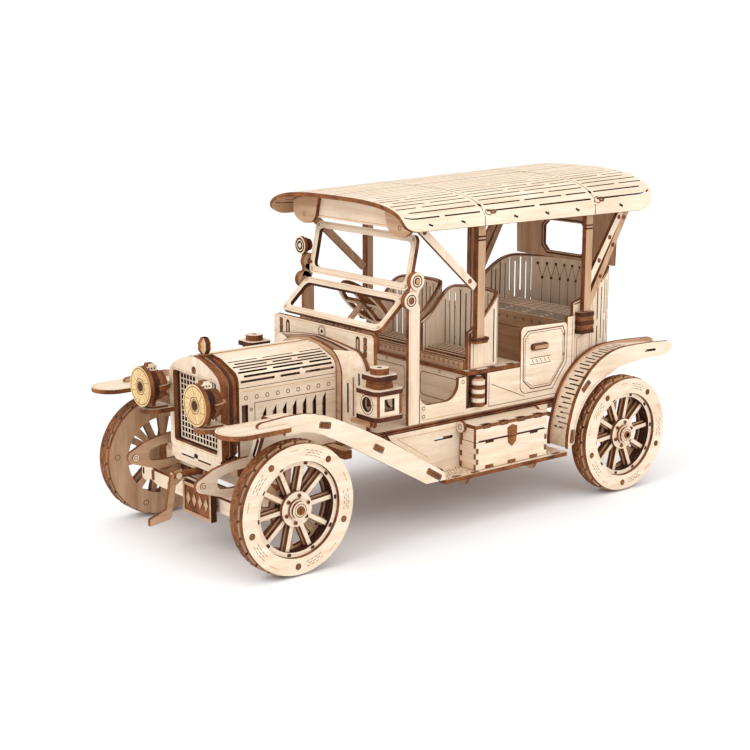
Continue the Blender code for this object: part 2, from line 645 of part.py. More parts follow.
def windshield_lower():
    """The fixed half, leaning forward from the lower eyes down to the dashboard."""
    y, z = LOWER_PIVOT
    frame = glazing_frame(z - 20.0, z + 1.4, 37.7, 3.4)
    frame.data.transform(Matrix.Translation((0, y, 0)))
    return turn(frame, -48.0, "X", (0, y, z))


def spotlight():
    """The small lamp on the right-hand stanchion."""
    x = -(SIDE_X + 3.6)
    lamp = turned("Y", (x, 0, 122.4), [(-25.6, 4.4), (-23.0, 4.4), (-23.0, 3.0), (-20.0, 3.0)], 14)
    stalk = slab("YZ", box_outline(-23.8, 110.8, -21.8, 120.0), x - 1, x + 1)
    clip = slab("XY", box_outline(x - 1, -23.8, -SIDE_X - 1.1, -21.8), 110.8, 112.6)
    return fuse(lamp, stalk, clip)


def steering_wheel():
    """The wheel, its spokes and its column, tilted towards the driver on the right."""
    x, y, z = STEERING_HUB
    rim = slab("XZ", circle((x, z), 14.6, 20), y - 1, y + 1, [circle((x, z), 12.4, 20)])
    spokes = [slab("XZ", box_outline(x - 13.4, z - 1, x + 13.4, z + 1), y - 0.9, y + 0.9)]
    spokes.append(slab("XZ", box_outline(x - 1, z - 13.4, x + 1, z + 13.4), y - 0.9, y + 0.9))
    hub = turned("Y", (x, 0, z), [(y - 2.0, 3.4), (y + 2.2, 3.4)], 12)
    column = turned("Y", (x, 0, z), [(y - 34.0, 1.6), (y + 1.0, 1.6)], 8)
    whole = fuse(rim, hub, column, *spokes)
    return turn(whole, STEERING_TILT, "X", STEERING_HUB)


def roof_height(x, y):
    """Height of the roof's upper face: a rounded arch that grows towards the rear."""
    share = (y - ROOF_Y0) / (ROOF_Y1 - ROOF_Y0)
    rise = ROOF_RISE0 + (ROOF_RISE1 - ROOF_RISE0) * share
    return EAVE_Z + rise * (1 - min(abs(x) / EAVE_X, 1) ** 3) ** (1 / 3)


def roof():
    """The bent roof sheet, with rounded corners at the ends of its eaves."""
    angles = [math.pi * i / 20 for i in range(21)]
    across = [EAVE_X * math.copysign(abs(math.cos(a)) ** (2 / 3), math.cos(a)) for a in angles]
    sections = []
    for y in (ROOF_Y0, ROOF_Y0 + 2.5, ROOF_Y0 + 8, ROOF_Y1 - 8, ROOF_Y1 - 2.5, ROOF_Y1):
        from_end = min(y - ROOF_Y0, ROOF_Y1 - y)
        lift = 7.0 * (1 - math.sqrt(max(0, 1 - (1 - min(from_end / 8, 1)) ** 2)))
        outer, inner = [], []
        for x in across:
            z = max(roof_height(x, y), EAVE_Z + lift)
            outer.append((x, y, z))
            slope = abs(x) / EAVE_X
            inner.append((x * (1 - 0.038 * slope ** 6), y, z - PLY * (1 - 0.75 * slope ** 12)))
        sections.append(outer + inner[::-1])
    return loft(sections)


def roof_bow():
    """The board across the front of the roof, with its two rounded brackets."""
    top = [(x, roof_height(x, -26) - PLY - GAP - 0.4) for x in (30, 20, 10, 0)]
    board = slab("XZ", mirrored_outline([(30, 137.6)] + top), -27.0, -25.0)
    brackets = []
    for side in (-1, 1):
        under = [(x, roof_height(x, -28) - PLY - GAP - 0.6) for x in (24.5, 30, 36, 42, 45)]
        lobe = [(44.6, 139.0), (42.0, 136.4), (38.6, 134.9), (34.0, 134.4), (30.0, 135.4), (27.0, 138.4)]
        brackets.append(slab("XZ", [(side * x, z) for x, z in under + lobe], -29.0, -26.6))
    return fuse(board, *brackets)


def bar(start, end, width, x0, x1):
    """A straight strip in a side plane, from one (y, z) point to another."""
    a, b = Vector(start), Vector(end)
    along = (b - a).normalized()
    side = Vector((-along.y, along.x)) * width / 2
    return slab("YZ", [tuple(a - side), tuple(b - side), tuple(b + side), tuple(a + side)], x0, x1)


def front_roof_post():
    """A left front post with its brace to the roof's bow and its foot on the seat's side."""
    post = slab("YZ", box_outline(11.8, 85.0, 16.2, 138.4), 39.4, 43.0)
    brace = bar((11.0, 109.0), (-24.0, 140.2), 3.6, 40.2, 42.2)
    foot = slab("XY", box_outline(39.2, 9.6, 44.4, 18.6), 82.6, 85.2)
    rail = slab("YZ", box_outline(-24.6, 139.2, 84.0, 142.2), 40.2, 42.2)
    return fuse(post, brace, foot, rail)


def rear_roof_frame():
    """A left rear post with the two struts that fan out behind it."""
    post = slab("YZ", box_outline(82.2, 90.1, 86.6, 138.4), 40.0, 43.0)
    inner = bar((86.0, 104.0), (108.0, 138.0), 3.4, 40.2, 42.2)
    outer = bar((86.0, 92.4), (112.0, 138.8), 3.4, 40.2, 42.2)
    rail = slab("YZ", box_outline(84.6, 138.0, 114.0, 142.2), 40.2, 42.2)
    return fuse(post, inner, outer, rail)


def roof_back_panel():
    """The panel between the rear seat and the roof, with its eight-sided window."""
    y = 112.0
    window = [(-12, 112), (12, 112), (15, 115.4), (15, 124), (12, 128), (-12, 128),
              (-15, 124), (-15, 115.4)]
    top = [(x, roof_height(x, y) - PLY - GAP - 0.5) for x in (36, 30, 20, 10, 0)]
    return slab("XZ", mirrored_outline([(35, 108.9)] + top), y - 1, y + 1, [window])


# ---------------------------------------------------------------- assembly
def build():
    clear_scene()
    birch = plywood("birch", BIRCH)
    shaded = plywood("shaded_birch", SHADED)
    burnt = plywood("burnt_edge", BURNT, 0.7)
    lamp = plywood("lamp_face", LAMP, 0.5)

    front_hub = (TYRE_IN, FRONT_AXLE_Y, WHEEL_R)
    rear_hub = (0, REAR_AXLE_Y, WHEEL_R)
    both_sides("front_wheel", wheel(FRONT_AXLE_Y), birch, front_hub)
    both_sides("rear_wheel", wheel(REAR_AXLE_Y), birch, rear_hub)
    both_sides("steering_knuckle", knuckle(), burnt, (KINGPIN_X, FRONT_AXLE_Y, WHEEL_R))
    node("tie_rod", tie_rod(), shaded)
    node("front_axle_beam", front_axle_beam(), birch)
    node("chassis_frame", chassis_frame(), shaded)
    node("rear_axle", rear_axle(), burnt, rear_hub)
    node("starting_crank", crank(), shaded, (CRANK_AXIS[0], HOOD_Y0, CRANK_AXIS[1]))

    node("radiator_shell", radiator_shell(), birch)
    node("radiator_grille", radiator_grille(), birch)
    both_sides("headlamp", headlamp(), lamp)
    node("number_plate", number_plate(), shaded)
    both_sides("fender_stay", fender_stay(), birch)
    both_sides("hood_top", hood_top(), birch, (0, HOOD_Y0, HOOD_TOP))
    both_sides("hood_side", hood_side(), birch)
    node("firewall", firewall(), birch)
    node("dashboard", dashboard(), birch)
    both_sides("side_lantern", side_lantern(), birch)

    both_sides("front_fender", front_fender(), birch)
    both_sides("rear_fender", rear_fender(), birch)
    both_sides("running_board", running_board(), birch)
    both_sides("toolbox", toolbox(), birch)
    both_sides("toolbox_lid", toolbox_lid(), birch, (LID_AXIS[0], 0, LID_AXIS[1]))
    node("canister", canister(), shaded)

    node("floor_board", floor_board(), shaded)
    both_sides("body_side", body_side(), birch)
    both_sides("rear_door", rear_door(), birch, (SIDE_X, DOOR_HINGE_Y, FLOOR_Z))
    node("rear_tub", rear_tub(), birch)
    node("rear_seat", rear_seat(), shaded)
    node("front_seat_shelf", front_seat_shelf(), shaded)
    both_sides("front_seat", front_seat(), birch)

    both_sides("windshield_post", windshield_post(), birch)
    node("windshield_upper", windshield_upper(), birch, (0, *UPPER_PIVOT))
    node("windshield_lower", windshield_lower(), birch)
    node("spotlight", spotlight(), lamp)
    node("steering_wheel", steering_wheel(), shaded, STEERING_HUB)
    node("roof", roof(), birch)
    node("roof_bow", roof_bow(), shaded)
    both_sides("front_roof_post", front_roof_post(), birch)
    both_sides("rear_roof_frame", rear_roof_frame(), birch)
    node("roof_back_panel", roof_back_panel(), shaded)


build()
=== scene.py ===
"""The looks of the plywood touring car: every sheet with its slots, plies, engraving and grain."""

import json
import math

import bmesh
import bpy
from mathutils import Matrix, Vector
from mathutils.geometry import tessellate_polygon


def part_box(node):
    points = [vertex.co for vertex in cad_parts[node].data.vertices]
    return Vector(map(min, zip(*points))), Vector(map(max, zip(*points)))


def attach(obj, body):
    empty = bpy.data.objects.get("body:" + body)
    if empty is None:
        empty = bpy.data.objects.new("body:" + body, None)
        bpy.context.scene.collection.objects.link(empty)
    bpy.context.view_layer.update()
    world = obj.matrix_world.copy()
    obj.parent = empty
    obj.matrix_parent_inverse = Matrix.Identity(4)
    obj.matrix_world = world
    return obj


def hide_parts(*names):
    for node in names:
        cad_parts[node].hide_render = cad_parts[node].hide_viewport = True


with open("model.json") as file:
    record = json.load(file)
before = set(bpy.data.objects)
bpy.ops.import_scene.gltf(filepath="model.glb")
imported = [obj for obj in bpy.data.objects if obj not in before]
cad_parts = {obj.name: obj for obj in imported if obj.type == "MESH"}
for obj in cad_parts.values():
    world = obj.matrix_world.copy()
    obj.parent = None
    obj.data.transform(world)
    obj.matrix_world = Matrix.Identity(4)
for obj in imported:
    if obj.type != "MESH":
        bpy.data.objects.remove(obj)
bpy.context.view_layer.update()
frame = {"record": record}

MM = 0.001  # every size below is in millimetres
PLY = 2.0  # thickness of the plywood
PROUD = 0.035  # how far an engraved line stands off its sheet, so that it shows
FLUSH = 0.02  # how far a tab's end stands out of its slot
FENDER_X = 55.7  # outer face of the fenders and running boards
SIDE_X = 41.0  # outer face of the body sides
BASE_Z = 49.3  # lower edge of what stands on the floor board
BOARD_Z = 25.4  # top of the running boards
AXLE_Z = 29.0  # height of the axles
FRONT_Y, REAR_Y = -102.0, 96.5  # the front and rear axles
RAIL_X = 42.2  # outer face of the roof's rails and braces
UPPER_PIVOT, LOWER_PIVOT = (-23.4, 115.0), (-26.8, 106.6)  # hinge discs of the windshield, as (y, z)
EAVE_X, EAVE_Z = 51.5, 138.5  # the roof's eaves
ROOF_Y0, ROOF_Y1 = -39.0, 120.0  # the roof's front and rear edges
BODY_OF = {n: b for b, nodes in frame["record"]["behaviour"]["bodies"].items() for n in nodes}


def corners(node):
    """Lowest and highest corner of a CAD node, in millimetres."""
    low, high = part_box(node)
    return [v / MM for v in low], [v / MM for v in high]


# ---------------------------------------------------------------- materials
def linear(red, green, blue):
    """The shader's colour for an 8-bit screen colour."""
    return tuple(((v / 255 + 0.055) / 1.055) ** 2.4 if v > 10 else v / 3294.6 for v in (red, green,
                                                                                        blue)) + (1.0,)


def surface(name, roughness, specular):
    """A new material with its node tree and its shader."""
    made = bpy.data.materials.new(name)
    made.use_nodes = True
    shader = made.node_tree.nodes["Principled BSDF"]
    shader.inputs["Roughness"].default_value = roughness
    shader.inputs["Specular IOR Level"].default_value = specular
    return made, made.node_tree, shader


def add(tree, kind, source, target, **inputs):
    """A new node, with a source linked to one of its sockets and numbers on others."""
    made = tree.nodes.new(kind)
    for name, value in inputs.items():
        made.inputs[name.replace("_", " ")].default_value = value
    tree.links.new(source, made.inputs[target])
    return made


def noise(tree, place, **inputs):
    return add(tree, "ShaderNodeTexNoise", place, "Vector", **inputs).outputs["Fac"]


def blend(tree, amount, *stops):
    """A colour ramp between two (position, colour) stops."""
    made = add(tree, "ShaderNodeValToRGB", amount, "Fac")
    for element, (position, colour) in zip(made.color_ramp.elements, stops):
        element.position = position
        element.color = colour
    return made.outputs["Color"]


def spread(tree, amount, low, high, to_low, to_high):
    """Maps one range of amounts onto another."""
    made = add(tree, "ShaderNodeMapRange", amount, "Value", From_Min=low, From_Max=high, To_Min=to_low,
               To_Max=to_high)
    return made.outputs["Result"]


def combine(tree, operation, first, second):
    """The sum or product of an amount and another amount or a plain number."""
    made = add(tree, "ShaderNodeMath", first, 0)
    made.operation = operation
    if isinstance(second, float):
        made.inputs[1].default_value = second
    else:
        tree.links.new(second, made.inputs[1])
    return made.outputs["Value"]


def relief(tree, shader, height, strength, distance):
    """Fine relief in the surface, with its depth in millimetres."""
    made = add(tree, "ShaderNodeBump", height, "Height", Strength=strength, Distance=distance * MM)
    tree.links.new(made.outputs["Normal"], shader.inputs["Normal"])


def wood(name, pale, dark, grain="Y", roughness=0.62):
    """Sanded birch: long soft figure along the grain, fine pores and a faint scorch mottling."""
    made, tree, shader = surface(name, roughness, 0.28)
    place = tree.nodes.new("ShaderNodeTexCoord").outputs["Object"]
    stretch = [60 if axis == grain else 700 for axis in "XYZ"]
    grained = add(tree, "ShaderNodeMapping", place, "Vector", Scale=stretch).outputs["Vector"]
    figure = noise(tree, grained, Scale=0.5, Detail=4.0, Roughness=0.6)
    pores = noise(tree, grained, Scale=3.2, Detail=3.0, Roughness=0.7)
    cloud = noise(tree, place, Scale=38.0, Detail=2.0)
    spots = spread(tree, pores, 0.28, 0.5, 0.86, 1.0)
    patches = spread(tree, cloud, 0.3, 0.7, 0.93, 1.03)
    tint = add(tree, "ShaderNodeVectorMath", blend(tree, figure, (0.325, dark), (0.675, pale)), 0)
    tint.operation = "SCALE"
    tree.links.new(combine(tree, "MULTIPLY", spots, patches), tint.inputs["Scale"])
    tree.links.new(tint.outputs["Vector"], shader.inputs["Base Color"])
    relief(tree, shader, pores, 0.35, 0.05)
    return made


def burnt(name, light, deep, scale=900.0):
    """A laser-cut edge: charred streaks across the plies over a toasted ground; in near-black it also makes
    the painted shadow.
    """
    made, tree, shader = surface(name, 0.72, 0.2)
    place = tree.nodes.new("ShaderNodeTexCoord").outputs["Object"]
    char = noise(tree, place, Scale=scale, Detail=5.0, Roughness=0.75)
    broad = noise(tree, place, Scale=130.0, Detail=2.0)
    mean = combine(tree, "MULTIPLY", combine(tree, "ADD", char, broad), 0.5)
    tree.links.new(blend(tree, mean, (0.36, deep), (0.64, light)), shader.inputs["Base Color"])
    relief(tree, shader, char, 0.5, 0.06)
    return made


PALE, PALE_GRAIN = linear(240, 222, 200), linear(224, 198, 170)
# Painted shade: a darker copy of the birch for the backs, insides and undersides that lie in shade.
SHADED_BIRCH, SHADED_BIRCH_GRAIN = linear(204, 168, 136), linear(176, 136, 102)
LOOKS = {
    "face": wood("birch_face", PALE, PALE_GRAIN, "Y"),
    "face_x": wood("birch_face_across", PALE, PALE_GRAIN, "X"),
    "face_z": wood("birch_face_upright", PALE, PALE_GRAIN, "Z"),
    # The birch darkened as painted shade, with its grain along Z, X and Y.
    "tan": wood("birch_shaded", SHADED_BIRCH, SHADED_BIRCH_GRAIN, "Z"),
    "tan_x": wood("birch_shaded_across", SHADED_BIRCH, SHADED_BIRCH_GRAIN, "X"),
    "tan_y": wood("birch_shaded_along", SHADED_BIRCH, SHADED_BIRCH_GRAIN, "Y"),
    "lamp": wood("lamp_glass_ply", linear(230, 200, 146), linear(206, 168, 110), "Z", 0.4),
    "edge": burnt("laser_edge", linear(152, 94, 54), linear(78, 38, 18)),
    "dark": burnt("laser_edge_deep", linear(92, 48, 26), linear(42, 19, 9)),
    "line": burnt("engraved_line", linear(110, 66, 36), linear(72, 38, 18), 1500.0),
    "gold": burnt("engraved_seam", linear(206, 160, 100), linear(180, 126, 66), 1500.0),
    # Painted shadow: near-black for the walls of slots, holes, notches and gaps, where shade falls.
    "soot": burnt("slot_shadow", linear(40, 18, 8), linear(22, 9, 4)),
}


# ---------------------------------------------------------------- outlines
def arc(centre, radius, start, end, count):
    steps = [math.radians(start + (end - start) * i / count) for i in range(count + 1)]
    return [(centre[0] + radius * math.cos(a), centre[1] + radius * math.sin(a)) for a in steps]


def ring(centre, radius, count=24):
    return arc(centre, radius, 180 / count, 180 / count + 360 * (count - 1) / count, count - 1)


def box(u0, v0, u1, v1):
    return [(u0, v0), (u1, v0), (u1, v1), (u0, v1)]


def rounded(u0, v0, u1, v1, radius, count=5):
    points = arc((u1 - radius, v0 + radius), radius, -90, 0, count)
    points += arc((u1 - radius, v1 - radius), radius, 0, 90, count)
    points += arc((u0 + radius, v1 - radius), radius, 90, 180, count)
    return points + arc((u0 + radius, v0 + radius), radius, 180, 270, count)


def chamfered(u0, v0, u1, v1, cut):
    return [(u0 + cut, v0), (u1 - cut, v0), (u1, v0 + cut), (u1, v1 - cut), (u1 - cut, v1), (u0 + cut, v1),
            (u0, v1 - cut), (u0, v0 + cut)]


def mirrored(half):
    return half + [(-u, v) for u, v in reversed(half) if abs(u) > 1e-9]


def capsule(u0, v0, u1, v1, radius, count=5):
    """A slot with round ends from one point to another."""
    along = math.degrees(math.atan2(v1 - v0, u1 - u0))
    return arc((u1, v1), radius, along - 90, along + 90, count) + arc((u0, v0), radius, along + 90,
                                                                      along + 270, count)


def wave(start, end, count, rise, ease=True):
    """Points from one corner to another along an S-shaped edge."""
    points = []
    for i in range(count + 1):
        t = i / count
        s = t * t * (3 - 2 * t) if ease else t
        points.append((start[0] + (end[0] - start[0]) * t, start[1] + (end[1] - start[1]) * s
                       + rise * math.sin(math.pi * t)))
    return points


PLANES = {
    "YZ": lambda u, v, w: (w, u, v),
    "XZ": lambda u, v, w: (u, w, v),
    "XY": lambda u, v, w: (u, v, w),
}


# ---------------------------------------------------------------- the piece builder
class Piece:
    """Collects the plates, bent sheets and turned plies of one piece, in millimetres."""

    def __init__(self):
        self.points = []
        self.faces = []
        self.looks = []

    def put(self, points, faces, looks):
        first = len(self.points)
        self.points += [tuple(p) for p in points]
        self.faces += [[first + i for i in face] for face in faces]
        self.looks += looks

    def plate(self, plane, outline, low, high, holes=(), face="face", edge="edge", back=None,
              hole_edge=None):
        """A flat sheet from low to high along the plane's normal, with burnt cut edges."""
        place = PLANES[plane]
        loops = [list(outline)] + [list(hole) for hole in holes]
        flat = [point for loop in loops for point in loop]
        triangles = tessellate_polygon([[Vector((u, v, 0)) for u, v in loop] for loop in loops])
        count = len(flat)
        points = [place(u, v, low) for u, v in flat] + [place(u, v, high) for u, v in flat]
        faces, looks = [], []
        for triangle in triangles:
            faces.append(list(triangle))
            looks.append(back or face)
            faces.append([count + i for i in reversed(triangle)])
            looks.append(face)
        first = 0
        for number, loop in enumerate(loops):
            for i in range(len(loop)):
                a, b = first + i, first + (i + 1) % len(loop)
                faces.append([a, b, count + b, count + a])
                looks.append(edge if number == 0 else (hole_edge or edge))
            first += len(loop)
        self.put(points, faces, looks)

    def strip(self, low, high, look):
        """A closed block between four corners and four others above them."""
        sides = [[i, (i + 1) % 4, (i + 1) % 4 + 4, i + 4] for i in range(4)]
        self.put(low + high, [[0, 3, 2, 1], [4, 5, 6, 7]] + sides, [look] * 6)

    def stroke(self, plane, points, level, width=0.28, look="line", closed=False, proud=PROUD):
        """An engraved line: a hairline strip lying on a face at the given level."""
        place = PLANES[plane]
        path = [Vector(p) for p in points]
        if closed:
            path = path + [path[0]]
        for a, b in zip(path, path[1:]):
            along = b - a
            if along.length < 1e-6:
                continue
            along.normalize()
            side = Vector((-along.y, along.x)) * width / 2
            end = along * width * 0.3
            quad = [a - side - end, b - side + end, b + side + end, a + side - end]
            low, high = sorted((level - 0.15 * math.copysign(1, proud), level + proud))
            self.strip([place(*q, low) for q in quad], [place(*q, high) for q in quad], look)

    def rivet(self, plane, centre, level, radius=0.9, proud=PROUD):
        self.stroke(plane, ring(centre, radius, 12), level, 0.3, "line", True, proud)

    def tenon(self, plane, centre, level, length, width, degrees=0.0, proud=0.12):
        """The charred end of a tab that shows through its slot."""
        c, s = math.cos(math.radians(degrees)), math.sin(math.radians(degrees))

        def around(reach, half):
            return [(centre[0] + u * c - v * s, centre[1] + u * s + v * c)
                    for u, v in chamfered(-reach, -half, reach, half, 0.35)]

        low, high = sorted((level - math.copysign(0.5, proud), level + proud))
        self.plate(plane, around(length / 2, width / 2), low, high, face="edge", edge="dark")
        # A near-black ring round the tab: painted shadow in the gap of its slot.
        self.stroke(plane, around(length / 2 + 0.22, width / 2 + 0.22), level, 0.32, "soot", True,
                    proud / 3)

    def sheet(self, shape, us, vs, holes=(), thickness=PLY, face="face", back="tan", edge="edge",
              hole_edge="dark"):
        """A bent sheet over a grid of (u, v), with rectangular slots cut right through."""
        # The back of the sheet takes the painted shade.
        us = sorted({round(u, 4) for u in list(us) + [h[i] for h in holes for i in (0, 1)]})
        vs = sorted({round(v, 4) for v in list(vs) + [h[i] for h in holes for i in (2, 3)]})

        def solid(i, j):
            if not (0 <= i < len(us) - 1 and 0 <= j < len(vs) - 1):
                return False
            u, v = (us[i] + us[i + 1]) / 2, (vs[j] + vs[j + 1]) / 2
            return not any(h[0] < u < h[1] and h[2] < v < h[3] for h in holes)

        wide = len(vs)
        total = len(us) * wide
        points = [shape(u, v, 0.0) for u in us for v in vs] + [shape(u, v, thickness) for u in us
                                                               for v in vs]
        faces, looks = [], []
        for i in range(len(us) - 1):
            for j in range(wide - 1):
                if not solid(i, j):
                    continue
                a, b, c, d = i * wide + j, (i + 1) * wide + j, (i + 1) * wide + j + 1, i * wide + j + 1
                faces.append([a, b, c, d])
                looks.append(face)
                faces.append([total + d, total + c, total + b, total + a])
                looks.append(back)
                sides = (((i, j - 1), a, b), ((i + 1, j), b, c), ((i, j + 1), c, d), ((i - 1, j), d, a))
                for (ni, nj), p, q in sides:
                    if not solid(ni, nj):
                        rim = ni in (-1, len(us) - 1) or nj in (-1, wide - 1)
                        faces.append([q, p, total + p, total + q])
                        looks.append(edge if rim else hole_edge)
        self.put(points, faces, looks)

    def trace(self, shape, points, width=0.28, look="line", level=-0.03, under=0.2):
        """An engraved line on a bent sheet, through (u, v) points of its grid."""
        path = [Vector(p) for p in points]
        for a, b in zip(path, path[1:]):
            along = (b - a).normalized()
            side = Vector((-along.y, along.x)) * width / 2
            quad = [a - side, b - side, b + side, a + side]
            self.strip([shape(*q, level + under) for q in quad], [shape(*q, level) for q in quad], look)

    def turned(self, axis, centre, profile, count=32, looks="edge"):
        """A round stack about a row axis, from (position along the axis, radius) pairs."""
        names = [looks] * (len(profile) + 1) if isinstance(looks, str) else looks
        points, faces, found = [], [], []
        for along, radius in profile:
            for u, v in ring((0, 0), radius, count):
                points.append({"X": (centre[0] + along, centre[1] + u, centre[2] + v),
                               "Y": (centre[0] + u, centre[1] + along, centre[2] + v),
                               "Z": (centre[0] + u, centre[1] + v, centre[2] + along)}[axis])
        for k in range(len(profile) - 1):
            for i in range(count):
                j = (i + 1) % count
                faces.append([k * count + i, k * count + j, (k + 1) * count + j, (k + 1) * count + i])
                found.append(names[k + 1])
        faces.append(list(range(count))[::-1])
        found.append(names[0])
        faces.append([(len(profile) - 1) * count + i for i in range(count)])
        found.append(names[-1])
        self.put(points, faces, found)

    def mark(self):
        return len(self.points)

    def move(self, since, matrix):
        """Moves everything added after a mark."""
        for i in range(since, len(self.points)):
            self.points[i] = tuple(matrix @ Vector(self.points[i]))

    def turn(self, since, degrees, axis, about):
        there = Matrix.Translation(Vector(about))
        self.move(since, there @ Matrix.Rotation(math.radians(degrees), 4, axis) @ there.inverted())

    def make(self, name, node, flip=False):
        """Builds the object, rides it on its node's body and puts it in the node's place."""
        used = sorted(set(self.looks))
        bm = bmesh.new()
        sign = -1 if flip else 1
        corners_made = [bm.verts.new((sign * x * MM, y * MM, z * MM)) for x, y, z in self.points]
        for face, look in zip(self.faces, self.looks):
            try:
                made = bm.faces.new([corners_made[i] for i in face])
            except ValueError:
                continue
            made.material_index = used.index(look)
            made.smooth = True
        bmesh.ops.recalc_face_normals(bm, faces=bm.faces)
        mesh = bpy.data.meshes.new(name)
        bm.to_mesh(mesh)
        bm.free()
        for look in used:
            mesh.materials.append(LOOKS[look])
        mesh.set_sharp_from_angle(angle=math.radians(28))
        piece = bpy.data.objects.new(name, mesh)
        bpy.context.scene.collection.objects.link(piece)
        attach(piece, BODY_OF[node])
        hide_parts(node)


def follow(path, place, inward=1):
    """A sheet bent along a flat path: its shape, (across, along, depth) to a point, and its reaches."""
    reach = [0.0]
    for a, b in zip(path, path[1:]):
        reach.append(reach[-1] + math.dist(a, b))

    def left(a, b):
        along = (Vector(b) - Vector(a)).normalized()
        return Vector((-along.y, along.x))

    def shape(u, s, depth):
        k = max([i for i in range(len(reach) - 1) if reach[i] <= s + 1e-6] or [0])
        a, b = Vector(path[k]), Vector(path[k + 1])
        t = (s - reach[k]) / (reach[k + 1] - reach[k])
        near = left(path[max(k - 1, 0)], path[k + 1])
        far = left(path[k], path[min(k + 2, len(path) - 1)])
        spot = a + (b - a) * t - (near * (1 - t) + far * t).normalized() * depth * inward
        return place(u, spot.x, spot.y)

    return shape, reach


def both(stem, piece):
    """The left piece and its mirror image."""
    piece.make(stem + "_left_look", stem + "_left")
    piece.make(stem + "_right_look", stem + "_right", flip=True)


# ---------------------------------------------------------------- wheels and steering
def circle_point(centre, radius, degrees):
    a = math.radians(degrees)
    return (centre[0] + radius * math.cos(a), centre[1] + radius * math.sin(a))


def notched(centre, radius, count, depth, turned_by, half=1.7):
    """A tread ply: a circle with small V notches round its rim."""
    points = []
    for i in range(count):
        middle = turned_by + 360 * i / count
        points += arc(centre, radius, middle - 360 / count + half, middle - half, 4)
        points.append(circle_point(centre, radius - depth, middle))
    return points


def sector(centre, inner, outer, start, end, count=4):
    return arc(centre, outer, start, end, count) + arc(centre, inner, end, start, count)


def wheel(node):
    """A left wheel: tread plies, pale side ring, rim, double spokes, hub disc, dowels and nut."""
    low, high = corners(node)
    centre = ((low[1] + high[1]) / 2, (low[2] + high[2]) / 2)
    radius = (high[1] - low[1]) / 2
    inside, nut_end = low[0], high[0]
    wide = 9.5
    made = Piece()

    gaps = [sector(centre, 9.4, 18.4, 45 * i + 6, 45 * i + 39) for i in range(8)]
    # The inner ply, the tread ply faces and the inner spokes are painted shade.
    made.plate("YZ", ring(centre, radius - 0.7, 72), inside, inside + 1.7, gaps, face="tan")
    for near, far, offset in ((1.8, 3.4, 0), (3.5, 5.2, 7.5), (5.3, 7.0, 0)):
        made.plate("YZ", notched(centre, radius, 24, 1.5, offset), inside + near, inside + far,
                   [ring(centre, 19.4, 48)], face="tan", hole_edge="dark")
    # A near-black core between the tread plies: painted shadow in the notches and gaps.
    made.plate("YZ", ring(centre, radius - 1.45, 72), inside + 1.7, inside + 7.4, [ring(centre, 19.8, 48)],
               face="soot",
               edge="soot", hole_edge="dark")
    face = inside + wide
    made.plate("YZ", ring(centre, radius - 0.8, 72), inside + 7.6, face, [ring(centre, 20.9, 64)],
               back="edge")
    made.plate("YZ", ring(centre, 21.6, 64), inside + 7.0, inside + 7.6, [ring(centre, 19.4, 48)],
               face="dark",
               edge="soot")
    made.plate("YZ", ring(centre, 20.7, 64), inside + 6.2, inside + 8.0, [ring(centre, 18.7, 56)],
               edge="edge", hole_edge="dark")
    for middle in range(5, 365, 36):
        mark = [circle_point(centre, r, middle + d) for r, d in ((19.1, -2.8), (20.4, -2.7), (20.4, 2.7),
                                                                 (19.1, 2.8))]
        made.plate("YZ", mark, inside + 7.8, inside + 8.08, face="dark", edge="soot")
        for near, far, half, look in ((2.6, 4.1, 1.6, "tan"), (4.5, 6.3, 0.95, "face")):
            spoke = [circle_point(centre, r, middle + math.degrees(s * half / r))
                     for r, s in ((4.0, -1), (19.2, -1), (19.2, 1), (4.0, 1))]
            made.plate("YZ", spoke, inside + near, inside + far, face=look)
    made.plate("YZ", ring(centre, 7.6, 32), inside + 6.0, inside + 7.9)
    made.plate("YZ", ring(centre, 7.2, 32), inside + 1.7, inside + 6.0, face="edge", edge="dark")
    for i in range(6):
        spot = circle_point(centre, 5.9, 60 * i + 20)
        made.turned("X", (0, *spot), [(inside + 7.9, 0.85), (inside + 8.5, 0.85), (inside + 8.5, 0.45),
                                      (inside + 8.35, 0.45)],
                    12, ["face", "edge", "edge", "soot", "dark"])
    made.turned("X", (0, *centre), [(inside + 7.9, 4.7), (inside + 9.2, 4.7), (inside + 9.2, 3.9),
                                    (inside + 10.4, 3.9),
                                    (inside + 10.4, 2.0), (nut_end, 1.8)], 12,
                ["face", "edge", "face", "edge", "face", "edge", "edge"])
    made.stroke("YZ", ring(centre, 2.9, 16), inside + 10.4, 0.3, "line", True)

    for i in range(5):
        spot = circle_point(centre, 24.6, 72 * i + 52)
        made.turned("X", (0, *spot), [(face - 0.4, 1.45), (face + 0.05, 1.45), (face + 0.05, 1.2),
                                      (face + 0.3, 1.15)], 14,
                    ["soot", "soot", "soot", "edge", "edge"])
        made.rivet("YZ", circle_point(centre, 24.0, 72 * i + 30), inside, 1.3, -PROUD)
        start = 72 * i + 62
        for row in range(3):
            reach = 23.4 + 1.1 * row
            for k in range(4 if row != 1 else 3):
                begin = start + 5.4 * k + (2.7 if row == 1 else 0)
                made.stroke("YZ", arc(centre, reach, begin, begin + 3.6, 2), face, 0.22)
        made.stroke("YZ", arc(centre, 26.0, start + 28, start + 38, 4), face, 0.26, "gold")
    return made


